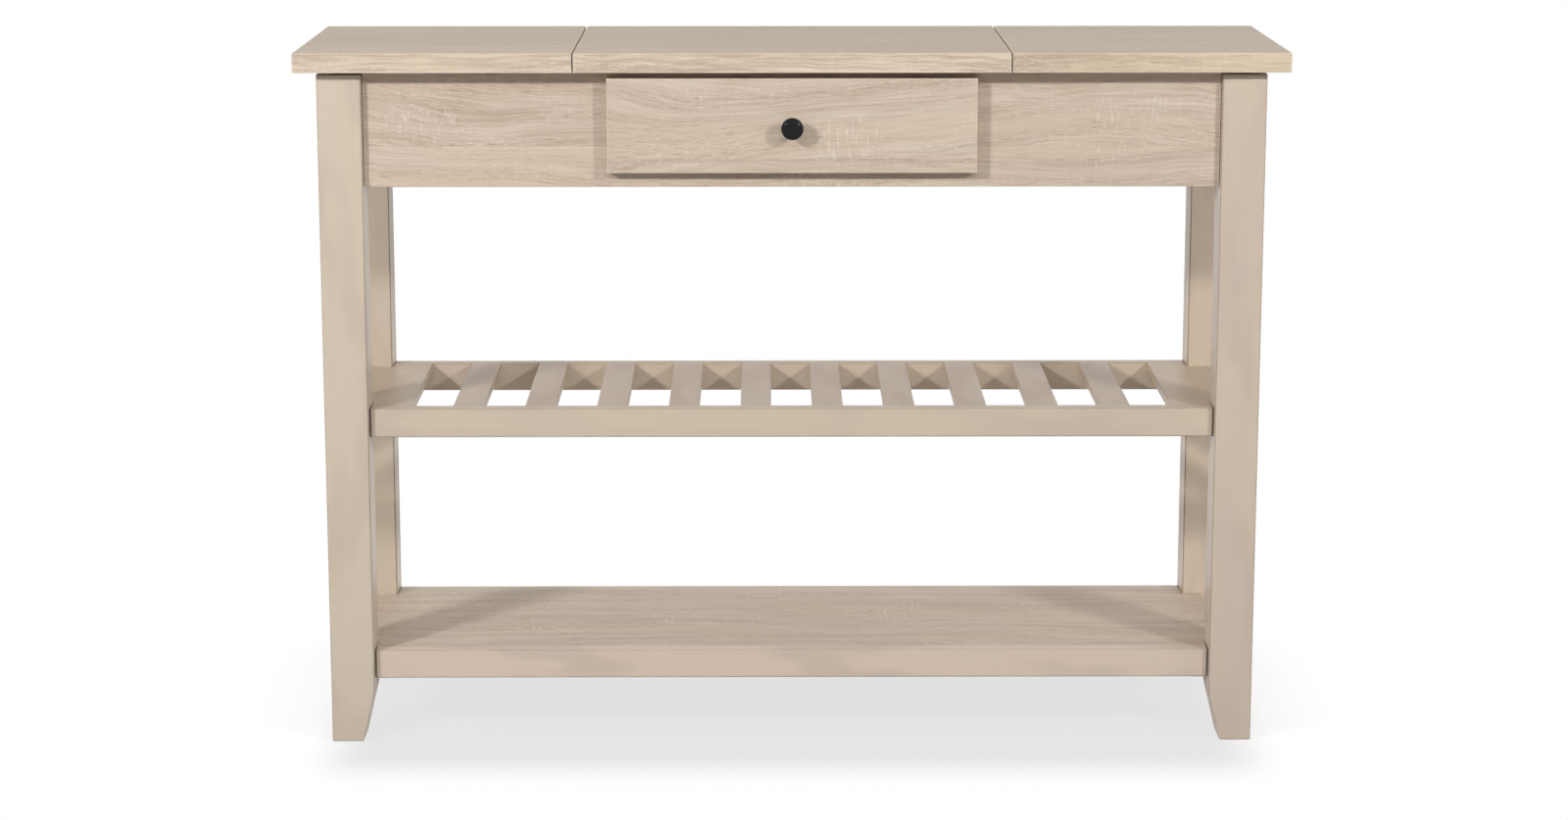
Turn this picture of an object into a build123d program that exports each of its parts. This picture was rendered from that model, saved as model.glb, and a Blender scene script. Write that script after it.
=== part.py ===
from build123d import *
import math
import os

# Dining server with one drawer, a slatted bottle shelf and a lower shelf.
# Millimetres. The origin is on the floor under the middle of the top; the front faces -Y.

# Overall sizes
top_width = 1270.0
top_depth = 381.0
overall_height = 914.0

# Top: three boards with open seams, each lipped on its four edges
top_thickness = 25.0
centre_panel_width = 557.0
seam_gap = 2.0
band_thickness = 2.0
band_arris = 0.8
side_overhang = 27.5
front_overhang = 20.0
back_overhang = 0.0

# Legs
leg_size = 57.0
leg_arris = 2.0
leg_top_gap = 4.5
foot_width = 41.0
foot_taper_height = 68.0
foot_arris = 1.5
glide_diameter = 22.0
glide_height = 1.5
glide_nail_diameter = 2.5
glide_nail_length = 16.0

# Aprons and rails
rail_setback = 11.0
joint_gap = 1.0
apron_height = 150.0
apron_thickness = 18.0
apron_arris = 1.2

# Drawer front and the opening behind it
drawer_front_width = 474.0
drawer_front_height = 121.5
drawer_front_thickness = 16.0
drawer_front_arris = 1.2
drawer_top_gap = 8.5
side_overlay = 12.0
top_overlay = 12.0
bottom_overlay = 8.0
bumper_diameter = 8.0
bumper_thickness = 2.0
bumper_edge = 6.0
bumper_end = 14.0

# Drawer box
drawer_lift = 5.0
drawer_side_height = 84.0
drawer_side_thickness = 12.0
drawer_back_gap = 61.0
drawer_bottom_thickness = 3.2
drawer_groove_depth = 6.0
drawer_groove_lift = 8.0
groove_clearance = 0.1

# Partitions that carry the runners
partition_thickness = 16.0
partition_height = 112.0

# Runners with rollers
runner_space = 13.0
runner_end_gap = 1.0
runner_back_gap = 11.0
sheet = 1.2
roller_diameter = 16.0
roller_width = 8.0
rivet_diameter = 5.0
rivet_head_diameter = 8.0
rivet_head_height = 0.9
shaft_fit = 0.05
running_gap = 0.2
side_play = 1.0
flange_height = 20.0
cabinet_roller_inset = 12.0
drawer_roller_inset = 10.0
stop_gap = 2.0

# Knob
knob_diameter = 28.5
knob_projection = 25.0
knob_base_diameter = 16.0
knob_base_height = 2.0
knob_neck_diameter = 11.0
knob_neck_height = 11.0
knob_rim_low = 18.5
knob_rim_high = 21.4
knob_rim_bulge = 0.95
knob_drop = 1.5
knob_screw_diameter = 4.0
knob_thread_depth = 9.0

# Bottle shelf
bottle_shelf_height = 448.0
shelf_rail_height = 38.0
shelf_rail_thickness = 20.0
shelf_rail_arris = 2.0
slat_width = 40.0
slat_thickness = 12.0
slot_width = 54.0
slat_arris = 0.8
tenon_width = 28.0
tenon_thickness = 6.0
tenon_length = 8.0
tenon_clearance = 0.1

# Lower shelf
lower_shelf_height = 123.0
lower_board_thickness = 15.0
end_rail_thickness = 20.0

# Fixings
dowel_diameter = 8.0
dowel_length = 40.0
dowel_end_gap = 1.0
rail_dowel_spread = 0.275
panel_dowel_diameter = 6.0
panel_dowel_length = 24.0
panel_dowel_count = 5
fit = 0.05
screw_diameter = 3.5
screw_head_diameter = 7.0
screw_head_height = 2.0
screw_length = 14.0
box_screw_length = 42.0
batten_width = 60.0
batten_thickness = 15.0
batten_screw_length = 30.0
bracket_leg = 20.0
bracket_width = 14.0
bracket_thickness = 1.5
bracket_hole_offset = 12.0
brace_room = 16.0
brace_flange = 24.0
brace_height = 90.0
brace_thickness = 2.0
corner_chamfer = 8.0
hanger_diameter = 6.0
hanger_spacing = 50.0
hanger_in_leg = 25.0
hanger_tail = 4.0
nut_across_flats = 10.0
nut_height = 5.0

# Levels and planes that the pieces share
under_top_z = overall_height - top_thickness
leg_top_z = under_top_z - leg_top_gap
apron_bottom_z = under_top_z - apron_height
leg_outer_x = top_width / 2 - side_overhang
leg_inner_x = leg_outer_x - leg_size
leg_front_y = -top_depth / 2 + front_overhang
leg_back_y = top_depth / 2 - back_overhang
front_leg_inner_y = leg_front_y + leg_size
back_leg_inner_y = leg_back_y - leg_size
rail_front_y = leg_front_y + rail_setback
rail_back_y = leg_back_y - rail_setback
rail_end_x = leg_inner_x - joint_gap
apron_inner_front_y = rail_front_y + apron_thickness
apron_inner_back_y = rail_back_y - apron_thickness
side_apron_outer_x = leg_outer_x - rail_setback
side_apron_inner_x = side_apron_outer_x - apron_thickness
seam_x = centre_panel_width / 2 + seam_gap / 2
shelf_end_x = leg_outer_x - leg_size / 2
slat_pitch = slat_width + slot_width
least_end_board = tenon_width + dowel_length / 2 + 4
slat_count = int((2 * rail_end_x - slot_width - 2 * least_end_board) / slat_pitch)

# Levels and planes of the drawer
drawer_front_top_z = under_top_z - drawer_top_gap
drawer_front_bottom_z = drawer_front_top_z - drawer_front_height
opening_x = drawer_front_width / 2 - side_overlay
opening_top_z = drawer_front_top_z - top_overlay
opening_bottom_z = drawer_front_bottom_z + bottom_overlay
drawer_back_of_front_y = rail_front_y - bumper_thickness
drawer_face_y = drawer_back_of_front_y - drawer_front_thickness
box_bottom_z = opening_bottom_z + drawer_lift
box_top_z = box_bottom_z + drawer_side_height
box_outer_x = opening_x - runner_space
box_inner_x = box_outer_x - drawer_side_thickness
box_back_y = apron_inner_back_y - drawer_back_gap
knob_z = (drawer_front_top_z + drawer_front_bottom_z) / 2 - knob_drop

# Levels and planes of the runners
flange_z = box_bottom_z + flange_height
cabinet_roller_z = flange_z - running_gap - roller_diameter / 2
track_z = cabinet_roller_z - roller_diameter / 2 - side_play
drawer_roller_z = track_z + running_gap + roller_diameter / 2
cover_z = flange_z + sheet + side_play
web_in_x = opening_x - sheet
drawer_web_x = box_outer_x + sheet
runner_length = box_back_y - drawer_back_of_front_y - runner_end_gap - runner_back_gap
cabinet_runner_front_y = apron_inner_front_y + runner_end_gap
cabinet_runner_y = (cabinet_runner_front_y, cabinet_runner_front_y + runner_length)
drawer_runner_front_y = drawer_back_of_front_y + runner_end_gap
drawer_runner_y = (drawer_runner_front_y, drawer_runner_front_y + runner_length)
cabinet_roller_y = cabinet_runner_y[0] + cabinet_roller_inset
drawer_roller_y = drawer_runner_y[1] - drawer_roller_inset
drawer_travel = drawer_roller_y - cabinet_roller_y - roller_diameter - stop_gap

# Every node is a list of solids, with the holes and housings that are cut from it
pieces = {}
cuts = {}


def add(name, *solids):
    """Puts solids in a node."""
    pieces.setdefault(name, []).extend(solids)


def cut(tool, *names):
    """Takes tool out of each named node when the nodes are written."""
    for name in names:
        cuts.setdefault(name, []).append(tool)


def block(x, y, z):
    """Box between three pairs of limits."""
    limits = (x, y, z)
    middle = [(low + high) / 2 for low, high in limits]
    return Pos(*middle) * Box(*[abs(high - low) for low, high in limits])


def rod(start, direction, diameter, length):
    """Round bar that runs from start along direction."""
    bar = Cylinder(diameter / 2, length, align=(Align.CENTER, Align.CENTER, Align.MIN))
    return Plane(origin=start, z_dir=direction) * bar


def step(point, direction, distance):
    """Point moved along a unit direction."""
    return tuple(p + d * distance for p, d in zip(point, direction))


def prism(points, direction, length):
    """Straight solid from a closed outline."""
    return extrude(make_face(Polyline(*points, close=True)), length, dir=direction)


def running(solid, axis, limit=0.99):
    """Edges of a solid that run along an axis."""
    want = {"X": Vector(1, 0, 0), "Y": Vector(0, 1, 0), "Z": Vector(0, 0, 1)}[axis]
    return [e for e in solid.edges() if abs(e.tangent_at(0.5).dot(want)) > limit]


def front_edges(solid, axis):
    """Edges along an axis that lie in the solid's front face."""
    front = solid.bounding_box().min.Y
    return [e for e in running(solid, axis) if abs(e.center().Y - front) < 0.01]


def round_front(solid, radius, axes="X"):
    """Rounds the edges of the front face that run along the given axes."""
    return fillet([e for axis in axes for e in front_edges(solid, axis)], radius)


def rim_at(solid, point):
    """Round edges of a solid whose centre is at a point."""
    rims = [e for e in solid.edges() if e.geom_type == GeomType.CIRCLE]
    return [e for e in rims if (e.arc_center - Vector(*point)).length < 0.01]


def dowel(middle, direction, *names):
    """Rail dowel centred on a joint, with its holes in the pieces that it joins."""
    start = step(middle, direction, -dowel_length / 2)
    add("joint_dowels", rod(start, direction, dowel_diameter, dowel_length))
    hole_start = step(start, direction, -dowel_end_gap)
    hole_length = dowel_length + 2 * dowel_end_gap
    cut(rod(hole_start, direction, dowel_diameter + 2 * fit, hole_length), *names)


def panel_dowel(middle, direction, *names):
    """Short dowel centred on a joint between boards."""
    start = step(middle, direction, -panel_dowel_length / 2)
    add("panel_dowels", rod(start, direction, panel_dowel_diameter, panel_dowel_length))
    hole_start = step(start, direction, -fit)
    hole_length = panel_dowel_length + 2 * fit
    cut(rod(hole_start, direction, panel_dowel_diameter + 2 * fit, hole_length), *names)


def screw(node, seat, direction, names, length=screw_length):
    """Pan-head screw whose head bears at seat and whose shank runs along direction."""
    shank = rod(seat, direction, screw_diameter, length)
    back = step(seat, direction, -screw_head_height)
    head = rod(back, direction, screw_head_diameter, screw_head_height)
    add(node, fillet(rim_at(head, back), screw_head_height / 2) + shank)
    cut(rod(seat, direction, screw_diameter + 2 * fit, length + fit), *names)


def countersunk_screw(node, seat, direction, names, length):
    """Flat-head screw whose head is flush with the face at seat."""
    sink = (screw_head_diameter - screw_diameter) / 2
    cone = Cone(
        screw_head_diameter / 2,
        screw_diameter / 2,
        sink,
        align=(Align.CENTER, Align.CENTER, Align.MIN),
    )
    head = Plane(origin=seat, z_dir=direction) * cone
    shank = rod(seat, direction, screw_diameter, length)
    add(node, head + shank)
    hole = rod(seat, direction, screw_diameter + 2 * fit, length + fit)
    cut(head + hole, *names)


def make_top():
    """Three boards side by side, each a core with four edge bands."""
    half = top_width / 2
    spans = {
        "left": (-half, -seam_x - seam_gap / 2),
        "centre": (-seam_x + seam_gap / 2, seam_x - seam_gap / 2),
        "right": (seam_x + seam_gap / 2, half),
    }
    front, back = -top_depth / 2, top_depth / 2
    z = (under_top_z, overall_height)
    t = band_thickness
    for name, (x0, x1) in spans.items():
        add(f"top_{name}_panel", block((x0 + t, x1 - t), (front + t, back - t), z))
        front_band = block((x0 + t, x1 - t), (front, front + t), z)
        back_band = block((x0 + t, x1 - t), (back - t, back), z)
        sides = [
            block((x0, x0 + t), (front, back), z),
            block((x1 - t, x1), (front, back), z),
        ]
        back_edges = [e for e in running(back_band, "X") if e.center().Y > back - 0.01]
        bands = [round_front(front_band, band_arris), fillet(back_edges, band_arris)]
        for side, face_x in zip(sides, (x0, x1)):
            outer = [e for e in running(side, "Y") if abs(e.center().X - face_x) < 0.01]
            bands.append(fillet(outer, band_arris))
        add(f"top_{name}_edge_bands", *bands)


def leg(side, rear):
    """Square post, tapered on its inner side down to the foot, with its inner corner cut back."""
    y0 = back_leg_inner_y if rear else leg_front_y
    outline = [
        (leg_outer_x, glide_height),
        (leg_outer_x - foot_width, glide_height),
        (leg_inner_x, glide_height + foot_taper_height),
        (leg_inner_x, leg_top_z),
        (leg_outer_x, leg_top_z),
    ]
    post = prism([(side * x, y0, z) for x, z in outline], (0, 1, 0), leg_size)
    post = fillet(running(post, "Z", 0.9), leg_arris)
    post = fillet(post.edges().group_by(Axis.Z)[0], foot_arris)
    corner_y = back_leg_inner_y if rear else front_leg_inner_y
    outward = 1 if rear else -1
    corner = [
        (side * leg_inner_x, corner_y, apron_bottom_z),
        (side * (leg_inner_x + corner_chamfer), corner_y, apron_bottom_z),
        (side * leg_inner_x, corner_y + outward * corner_chamfer, apron_bottom_z),
    ]
    return post - prism(corner, (0, 0, 1), leg_top_z - apron_bottom_z)


def make_legs():
    """Four legs and the nail-in glides under them."""
    for side, side_name in ((-1, "left"), (1, "right")):
        for rear, end_name in ((False, "front"), (True, "back")):
            name = f"{end_name}_{side_name}_leg"
            add(name, leg(side, rear))
            x = side * (leg_outer_x - foot_width / 2)
            y = (back_leg_inner_y if rear else leg_front_y) + leg_size / 2
            pad = rod((x, y, 0), (0, 0, 1), glide_diameter, glide_height)
            nail = rod((x, y, 0), (0, 0, 1), glide_nail_diameter, glide_nail_length)
            add("foot_glides", pad + nail)
            hole = rod((x, y, 0), (0, 0, 1), glide_nail_diameter + 2 * fit, glide_nail_length + fit)
            cut(hole, name)


def make_aprons():
    """Front, back and side boards under the top, dowelled to the legs."""
    z = (apron_bottom_z, under_top_z)
    front = block((-rail_end_x, rail_end_x), (rail_front_y, apron_inner_front_y), z)
    opening_z = (opening_bottom_z, opening_top_z)
    front = front - block((-opening_x, opening_x), (rail_front_y - 1, apron_inner_front_y + 1), opening_z)
    bottom = [e for e in front_edges(front, "X") if abs(e.center().Z - apron_bottom_z) < 0.01]
    add("front_apron", fillet(bottom, apron_arris))
    add("back_apron", block((-rail_end_x, rail_end_x), (apron_inner_back_y, rail_back_y), z))
    side_y = (front_leg_inner_y + joint_gap, back_leg_inner_y - joint_gap)
    dowel_levels = [apron_bottom_z + apron_height * share for share in (0.2, 0.8)]
    for side, name in ((-1, "left"), (1, "right")):
        x = (side * side_apron_inner_x, side * side_apron_outer_x)
        add(f"{name}_apron", block(x, side_y, z))
        for level in dowel_levels:
            front_y = rail_front_y + apron_thickness / 2
            back_y = rail_back_y - apron_thickness / 2
            joint_x = side * (leg_inner_x - joint_gap / 2)
            dowel((joint_x, front_y, level), (1, 0, 0), "front_apron", f"front_{name}_leg")
            dowel((joint_x, back_y, level), (1, 0, 0), "back_apron", f"back_{name}_leg")
            x_mid = side * (side_apron_inner_x + apron_thickness / 2)
            dowel_z = level + dowel_diameter + 4
            for end, joint_y in (("front", front_leg_inner_y), ("back", back_leg_inner_y)):
                middle = (x_mid, joint_y, dowel_z)
                dowel(middle, (0, 1, 0), f"{name}_apron", f"{end}_{name}_leg")


def make_corner_braces():
    """Bent plates behind the apron corners, drawn to the legs by hanger bolts."""
    leg_corner = leg_size - rail_setback - apron_thickness
    a = 2 * leg_corner - corner_chamfer + brace_room
    f, t = brace_flange, brace_thickness
    bend = t * (math.sqrt(2) - 1)
    outline = [(a, 0), (a + f, 0), (a + f, t), (a + bend, t), (t, a + bend), (t, a + f), (0, a + f), (0, a)]
    middle_z = apron_bottom_z + apron_height / 2
    low_z = middle_z - brace_height / 2
    root = math.sqrt(0.5)
    seat = (2 * leg_corner - corner_chamfer) * root
    plate = a * root
    for side, side_name in ((-1, "left"), (1, "right")):
        for rear, end_name in ((False, "front"), (True, "back")):
            cx = side * side_apron_inner_x
            cy = apron_inner_back_y if rear else apron_inner_front_y
            ux, vy = -side, -1 if rear else 1
            points = [(cx + ux * u, cy + vy * v, low_z) for u, v in outline]
            add("corner_braces", prism(points, (0, 0, 1), brace_height))
            inward = (ux * root, vy * root, 0)
            for dz in (-hanger_spacing / 2, hanger_spacing / 2):
                start = step((cx, cy, middle_z + dz), inward, seat - hanger_in_leg)
                length = plate + t + nut_height + hanger_tail - seat + hanger_in_leg
                add("hanger_bolts", rod(start, inward, hanger_diameter, length))
                hole = rod(step(start, inward, -fit), inward, hanger_diameter + 2 * fit, length)
                cut(hole, f"{end_name}_{side_name}_leg", "corner_braces")
                nut_start = step((cx, cy, middle_z + dz), inward, plate + t)
                hexagon = RegularPolygon(nut_across_flats / 2, 6, major_radius=False)
                nut = Plane(origin=nut_start, z_dir=inward) * extrude(hexagon, nut_height)
                add("hanger_nuts", nut)
                cut(rod(start, inward, hanger_diameter + 2 * fit, length), "hanger_nuts")
            for dz in (-brace_height / 3, brace_height / 3):
                u, z = a + f * 0.55, middle_z + dz
                across = f"{end_name}_apron"
                along = f"{side_name}_apron"
                seats = (
                    ((cx + ux * u, cy + vy * t, z), (0, -vy, 0), across),
                    ((cx + ux * t, cy + vy * u, z), (-ux, 0, 0), along),
                )
                for point, direction, board in seats:
                    clearance = step(point, direction, -0.01)
                    screw("frame_screws", point, direction, (board,))
                    cut(rod(clearance, direction, screw_diameter + 2 * fit, t + 0.02), "corner_braces")


def angle_bracket(corner, a, b, board_a, board_b):
    """Steel angle with one wing along a and one along b, and a screw through each wing."""
    length, t = bracket_leg, bracket_thickness
    outline = [(0, 0), (length, 0), (length, t), (t, t), (t, length), (0, length)]
    plane = Plane(origin=corner, x_dir=a, z_dir=Vector(*a).cross(Vector(*b)))
    wings = extrude(make_face(Polyline(*outline, close=True)), bracket_width / 2, both=True)
    wings = plane * wings
    for along, across, board in ((a, b, board_a), (b, a, board_b)):
        seat = step(step(corner, along, bracket_hole_offset), across, t)
        into = tuple(-value for value in across)
        screw("frame_screws", seat, into, (board,))
        wings = wings - rod(step(seat, into, -1), into, screw_diameter + 2 * fit, t + 2)
    add("angle_brackets", wings)


def make_top_fixings():
    """Angles that hold the top boards to the aprons, and battens that bridge the seams."""
    outer_x = (leg_inner_x + seam_x) / 2
    for x, board in ((-outer_x, "left"), (outer_x, "right")):
        panel = f"top_{board}_panel"
        for dx in (-60, 60):
            corner = (x + dx, apron_inner_front_y, under_top_z)
            angle_bracket(corner, (0, 1, 0), (0, 0, -1), panel, "front_apron")
            corner = (x + dx, apron_inner_back_y, under_top_z)
            angle_bracket(corner, (0, -1, 0), (0, 0, -1), panel, "back_apron")
        side = 1 if board == "right" else -1
        corner = (side * side_apron_inner_x, (front_leg_inner_y + back_leg_inner_y) / 2, under_top_z)
        angle_bracket(corner, (-side, 0, 0), (0, 0, -1), panel, f"{board}_apron")
    for x in (-opening_x / 2, opening_x / 2):
        corner = (x, apron_inner_back_y, under_top_z)
        angle_bracket(corner, (0, -1, 0), (0, 0, -1), "top_centre_panel", "back_apron")

    y = (apron_inner_front_y + joint_gap, apron_inner_back_y - joint_gap)
    z = (under_top_z - batten_thickness, under_top_z)
    for side, name in ((-1, "left"), (1, "right")):
        batten = f"{name}_seam_batten"
        x = side * seam_x
        add(batten, block((x - batten_width / 2, x + batten_width / 2), y, z))
        for share in (0.12, 0.5, 0.88):
            screw_y = y[0] + (y[1] - y[0]) * share
            for dx, panel in ((-side, "top_centre_panel"), (side, f"top_{name}_panel")):
                seat = (x + dx * batten_width / 4, screw_y, z[0])
                screw("batten_screws", seat, (0, 0, 1), (batten, panel), batten_screw_length)


def make_partitions():
    """Boards each side of the drawer that carry the runners."""
    low_z = box_bottom_z - drawer_lift - bottom_overlay
    z = (low_z, low_z + partition_height)
    y = (apron_inner_front_y, apron_inner_back_y)
    for side, name in ((-1, "left"), (1, "right")):
        node = f"{name}_drawer_partition"
        add(node, block((side * opening_x, side * (opening_x + partition_thickness)), y, z))
        x = side * (opening_x + partition_thickness / 2)
        for share in (0.25, 0.75):
            level = z[0] + (z[1] - z[0]) * share
            panel_dowel((x, y[0], level), (0, 1, 0), node, "front_apron")
            panel_dowel((x, y[1], level), (0, 1, 0), node, "back_apron")


def cabinet_runner(side, name):
    """Channel on the partition, open towards the drawer."""
    bottom = (track_z - sheet, track_z)
    top = (cover_z, cover_z + sheet)
    flange_x = (side * (drawer_web_x + side_play), side * opening_x)
    channel = block((side * web_in_x, side * opening_x), cabinet_runner_y, (bottom[0], top[1]))
    channel = channel + block(flange_x, cabinet_runner_y, bottom)
    channel = channel + block(flange_x, cabinet_runner_y, top)
    add(f"{name}_cabinet_runner", channel)


def drawer_runner(side, name):
    """Member on the drawer: a web, a flange under the side and a flange over the roller."""
    low = (box_bottom_z - sheet, box_bottom_z)
    high = (flange_z, flange_z + sheet)
    web_x = (side * box_outer_x, side * drawer_web_x)
    flange_x = (side * box_outer_x, side * (web_in_x - side_play))
    member = block(web_x, drawer_runner_y, (low[0], high[1]))
    member = member + block(flange_x, drawer_runner_y, high)
    member = member + block((side * box_inner_x, side * drawer_web_x), drawer_runner_y, low)
    add(f"{name}_drawer_runner", member)


def roller(node, start, direction):
    """Wheel whose inner face is at start, with a bore for its rivet."""
    wheel = rod(start, direction, roller_diameter, roller_width)
    wheel = fillet([e for e in wheel.edges() if e.geom_type == GeomType.CIRCLE], 0.5)
    bore = rod(step(start, direction, -1), direction, rivet_diameter + 2 * shaft_fit, roller_width + 2)
    add(node, wheel - bore)


def rivet(node, start, direction, length, runner):
    """Pin with a disc head, set in a runner's web."""
    head = rod(step(start, direction, length), direction, rivet_head_diameter, rivet_head_height)
    add(node, rod(start, direction, rivet_diameter, length) + head)
    cut(rod(start, direction, rivet_diameter, 2 * sheet), runner)


def make_runners():
    """Pressed runners with a roller on the cabinet side and one on the drawer side."""
    roller_in_x = drawer_web_x + (web_in_x - drawer_web_x - roller_width) / 2
    roller_out_x = roller_in_x + roller_width
    for side, name in ((-1, "left"), (1, "right")):
        cabinet_runner(side, name)
        drawer_runner(side, name)
        out, back = (side, 0, 0), (-side, 0, 0)
        on_cabinet = (side * roller_in_x, cabinet_roller_y, cabinet_roller_z)
        on_drawer = (side * roller_in_x, drawer_roller_y, drawer_roller_z)
        roller(f"{name}_cabinet_roller", on_cabinet, out)
        roller(f"{name}_drawer_roller", on_drawer, out)

        start = (side * opening_x, cabinet_roller_y, cabinet_roller_z)
        length = opening_x - roller_in_x + running_gap
        rivet("cabinet_roller_rivets", start, back, length, f"{name}_cabinet_runner")
        start = (side * box_outer_x, drawer_roller_y, drawer_roller_z)
        length = roller_out_x - box_outer_x + running_gap
        rivet("drawer_roller_rivets", start, out, length, f"{name}_drawer_runner")

        for share in (0.18, 0.5, 0.86):
            y = cabinet_runner_y[0] + runner_length * share
            seat = (side * web_in_x, y, (track_z + cover_z) / 2)
            holders = (f"{name}_cabinet_runner", f"{name}_drawer_partition")
            countersunk_screw("cabinet_runner_screws", seat, out, holders, screw_length)
            y = drawer_runner_y[0] + runner_length * share
            seat = (side * (box_inner_x + drawer_side_thickness / 2), y, box_bottom_z - sheet)
            holders = (f"{name}_drawer_runner", f"drawer_{name}_side")
            screw("drawer_runner_screws", seat, (0, 0, 1), holders, drawer_groove_lift)


def make_drawer():
    """Applied front, box of five boards, bumpers and the screws that hold them."""
    front_x = drawer_front_width / 2
    front_z = (drawer_front_bottom_z, drawer_front_top_z)
    front = block((-front_x, front_x), (drawer_face_y, drawer_back_of_front_y), front_z)
    add("drawer_front", round_front(front, drawer_front_arris, "XZ"))

    z = (box_bottom_z, box_top_z)
    t = drawer_side_thickness
    y = (drawer_back_of_front_y, box_back_y)
    for side, name in ((-1, "left"), (1, "right")):
        add(f"drawer_{name}_side", block((side * box_inner_x, side * box_outer_x), y, z))
        for end, board in ((y[0] + t / 2, "drawer_box_front"), (y[1] - t / 2, "drawer_back")):
            for share in (0.45, 0.82):
                seat = (side * box_outer_x, end, z[0] + drawer_side_height * share)
                holders = (f"drawer_{name}_side", board)
                countersunk_screw("drawer_box_screws", seat, (-side, 0, 0), holders, box_screw_length)
    add("drawer_box_front", block((-box_inner_x, box_inner_x), (y[0], y[0] + t), z))
    add("drawer_back", block((-box_inner_x, box_inner_x), (y[1] - t, y[1]), z))

    low_z = box_bottom_z + drawer_groove_lift
    reach = drawer_groove_depth - groove_clearance
    bottom_x = box_inner_x + reach
    bottom_y = (y[0] + t - reach, y[1] - t + reach)
    add("drawer_bottom", block((-bottom_x, bottom_x), bottom_y, (low_z, low_z + drawer_bottom_thickness)))
    c = groove_clearance
    groove_z = (low_z - c, low_z + drawer_bottom_thickness + c)
    groove = block((-bottom_x - c, bottom_x + c), (bottom_y[0] - c, bottom_y[1] + c), groove_z)
    cut(groove, "drawer_left_side", "drawer_right_side", "drawer_box_front", "drawer_back")

    inner_face_y = y[0] + t
    for x in (-box_inner_x * 0.75, box_inner_x * 0.75):
        for share in (0.35, 0.8):
            seat = (x, inner_face_y, z[0] + drawer_side_height * share)
            holders = ("drawer_box_front", "drawer_front")
            screw("drawer_front_screws", seat, (0, -1, 0), holders, t + drawer_front_thickness * 0.75)
    for x in (-front_x + bumper_edge, front_x - bumper_edge):
        for level in (drawer_front_bottom_z + bumper_end, drawer_front_top_z - bumper_end):
            start = (x, drawer_back_of_front_y, level)
            add("drawer_bumpers", rod(start, (0, 1, 0), bumper_diameter, bumper_thickness))


def make_knob():
    """Mushroom knob turned about its axis, with the screw that holds it from inside."""
    top, low, high = knob_projection, knob_rim_low, knob_rim_high
    base_r, neck_r = knob_base_diameter / 2, knob_neck_diameter / 2
    rim_r = knob_diameter / 2
    edge_r = rim_r - knob_rim_bulge
    neck_low = knob_base_height + (base_r - neck_r) * 0.9
    foot = [(base_r, 0), (base_r, knob_base_height), (neck_r, neck_low), (neck_r, knob_neck_height)]
    outline = [
        Polyline((0, top), (0, 0), *foot),
        TangentArc((neck_r, knob_neck_height), (edge_r, low), tangent=(0, 1)),
        ThreePointArc((edge_r, low), (rim_r, (low + high) / 2), (edge_r, high)),
        TangentArc((0, top), (edge_r, high), tangent=(1, 0)),
    ]
    turned = revolve(make_face(outline), Axis.Y)
    place = Plane(origin=(0, drawer_face_y, knob_z), x_dir=(1, 0, 0), z_dir=(0, 0, -1))
    add("knob", place * turned)

    t = drawer_side_thickness
    seat = (0, drawer_back_of_front_y + t, knob_z)
    length = t + drawer_front_thickness + knob_thread_depth
    out = (0, -1, 0)
    shank = rod(seat, out, knob_screw_diameter, length)
    head = rod(step(seat, out, -screw_head_height), out, screw_head_diameter, screw_head_height)
    add("knob_screw", shank + head)
    hole = rod(seat, out, knob_screw_diameter + 2 * fit, length + 1)
    cut(hole, "drawer_box_front", "drawer_front", "knob")


def shelf_rails(prefix, level, board_thickness):
    """Front and back rail of a shelf, dowelled between the legs and held by angles behind."""
    z = (level - shelf_rail_height, level)
    x = (-rail_end_x, rail_end_x)
    front = block(x, (rail_front_y, rail_front_y + shelf_rail_thickness), z)
    back = block(x, (rail_back_y - shelf_rail_thickness, rail_back_y), z)
    add(f"{prefix}_front_rail", round_front(front, shelf_rail_arris))
    outer = [e for e in running(back, "X") if e.center().Y > rail_back_y - 0.01]
    add(f"{prefix}_back_rail", fillet(outer, shelf_rail_arris))
    for side, name in ((-1, "left"), (1, "right")):
        joint_x = side * (leg_inner_x - joint_gap / 2)
        for dz in (-shelf_rail_height * rail_dowel_spread, shelf_rail_height * rail_dowel_spread):
            middle_z = level - shelf_rail_height / 2 + dz
            front_y = rail_front_y + shelf_rail_thickness / 2
            back_y = rail_back_y - shelf_rail_thickness / 2
            dowel((joint_x, front_y, middle_z), (1, 0, 0), f"{prefix}_front_rail", f"front_{name}_leg")
            dowel((joint_x, back_y, middle_z), (1, 0, 0), f"{prefix}_back_rail", f"back_{name}_leg")
        bracket_z = level - board_thickness - bracket_width / 2 - 0.5
        inner_y = rail_front_y + shelf_rail_thickness
        corner = (side * leg_inner_x, inner_y, bracket_z)
        angle_bracket(corner, (-side, 0, 0), (0, 1, 0), f"{prefix}_front_rail", f"front_{name}_leg")
        inner_y = rail_back_y - shelf_rail_thickness
        corner = (side * leg_inner_x, inner_y, bracket_z)
        angle_bracket(corner, (-side, 0, 0), (0, -1, 0), f"{prefix}_back_rail", f"back_{name}_leg")


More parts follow.
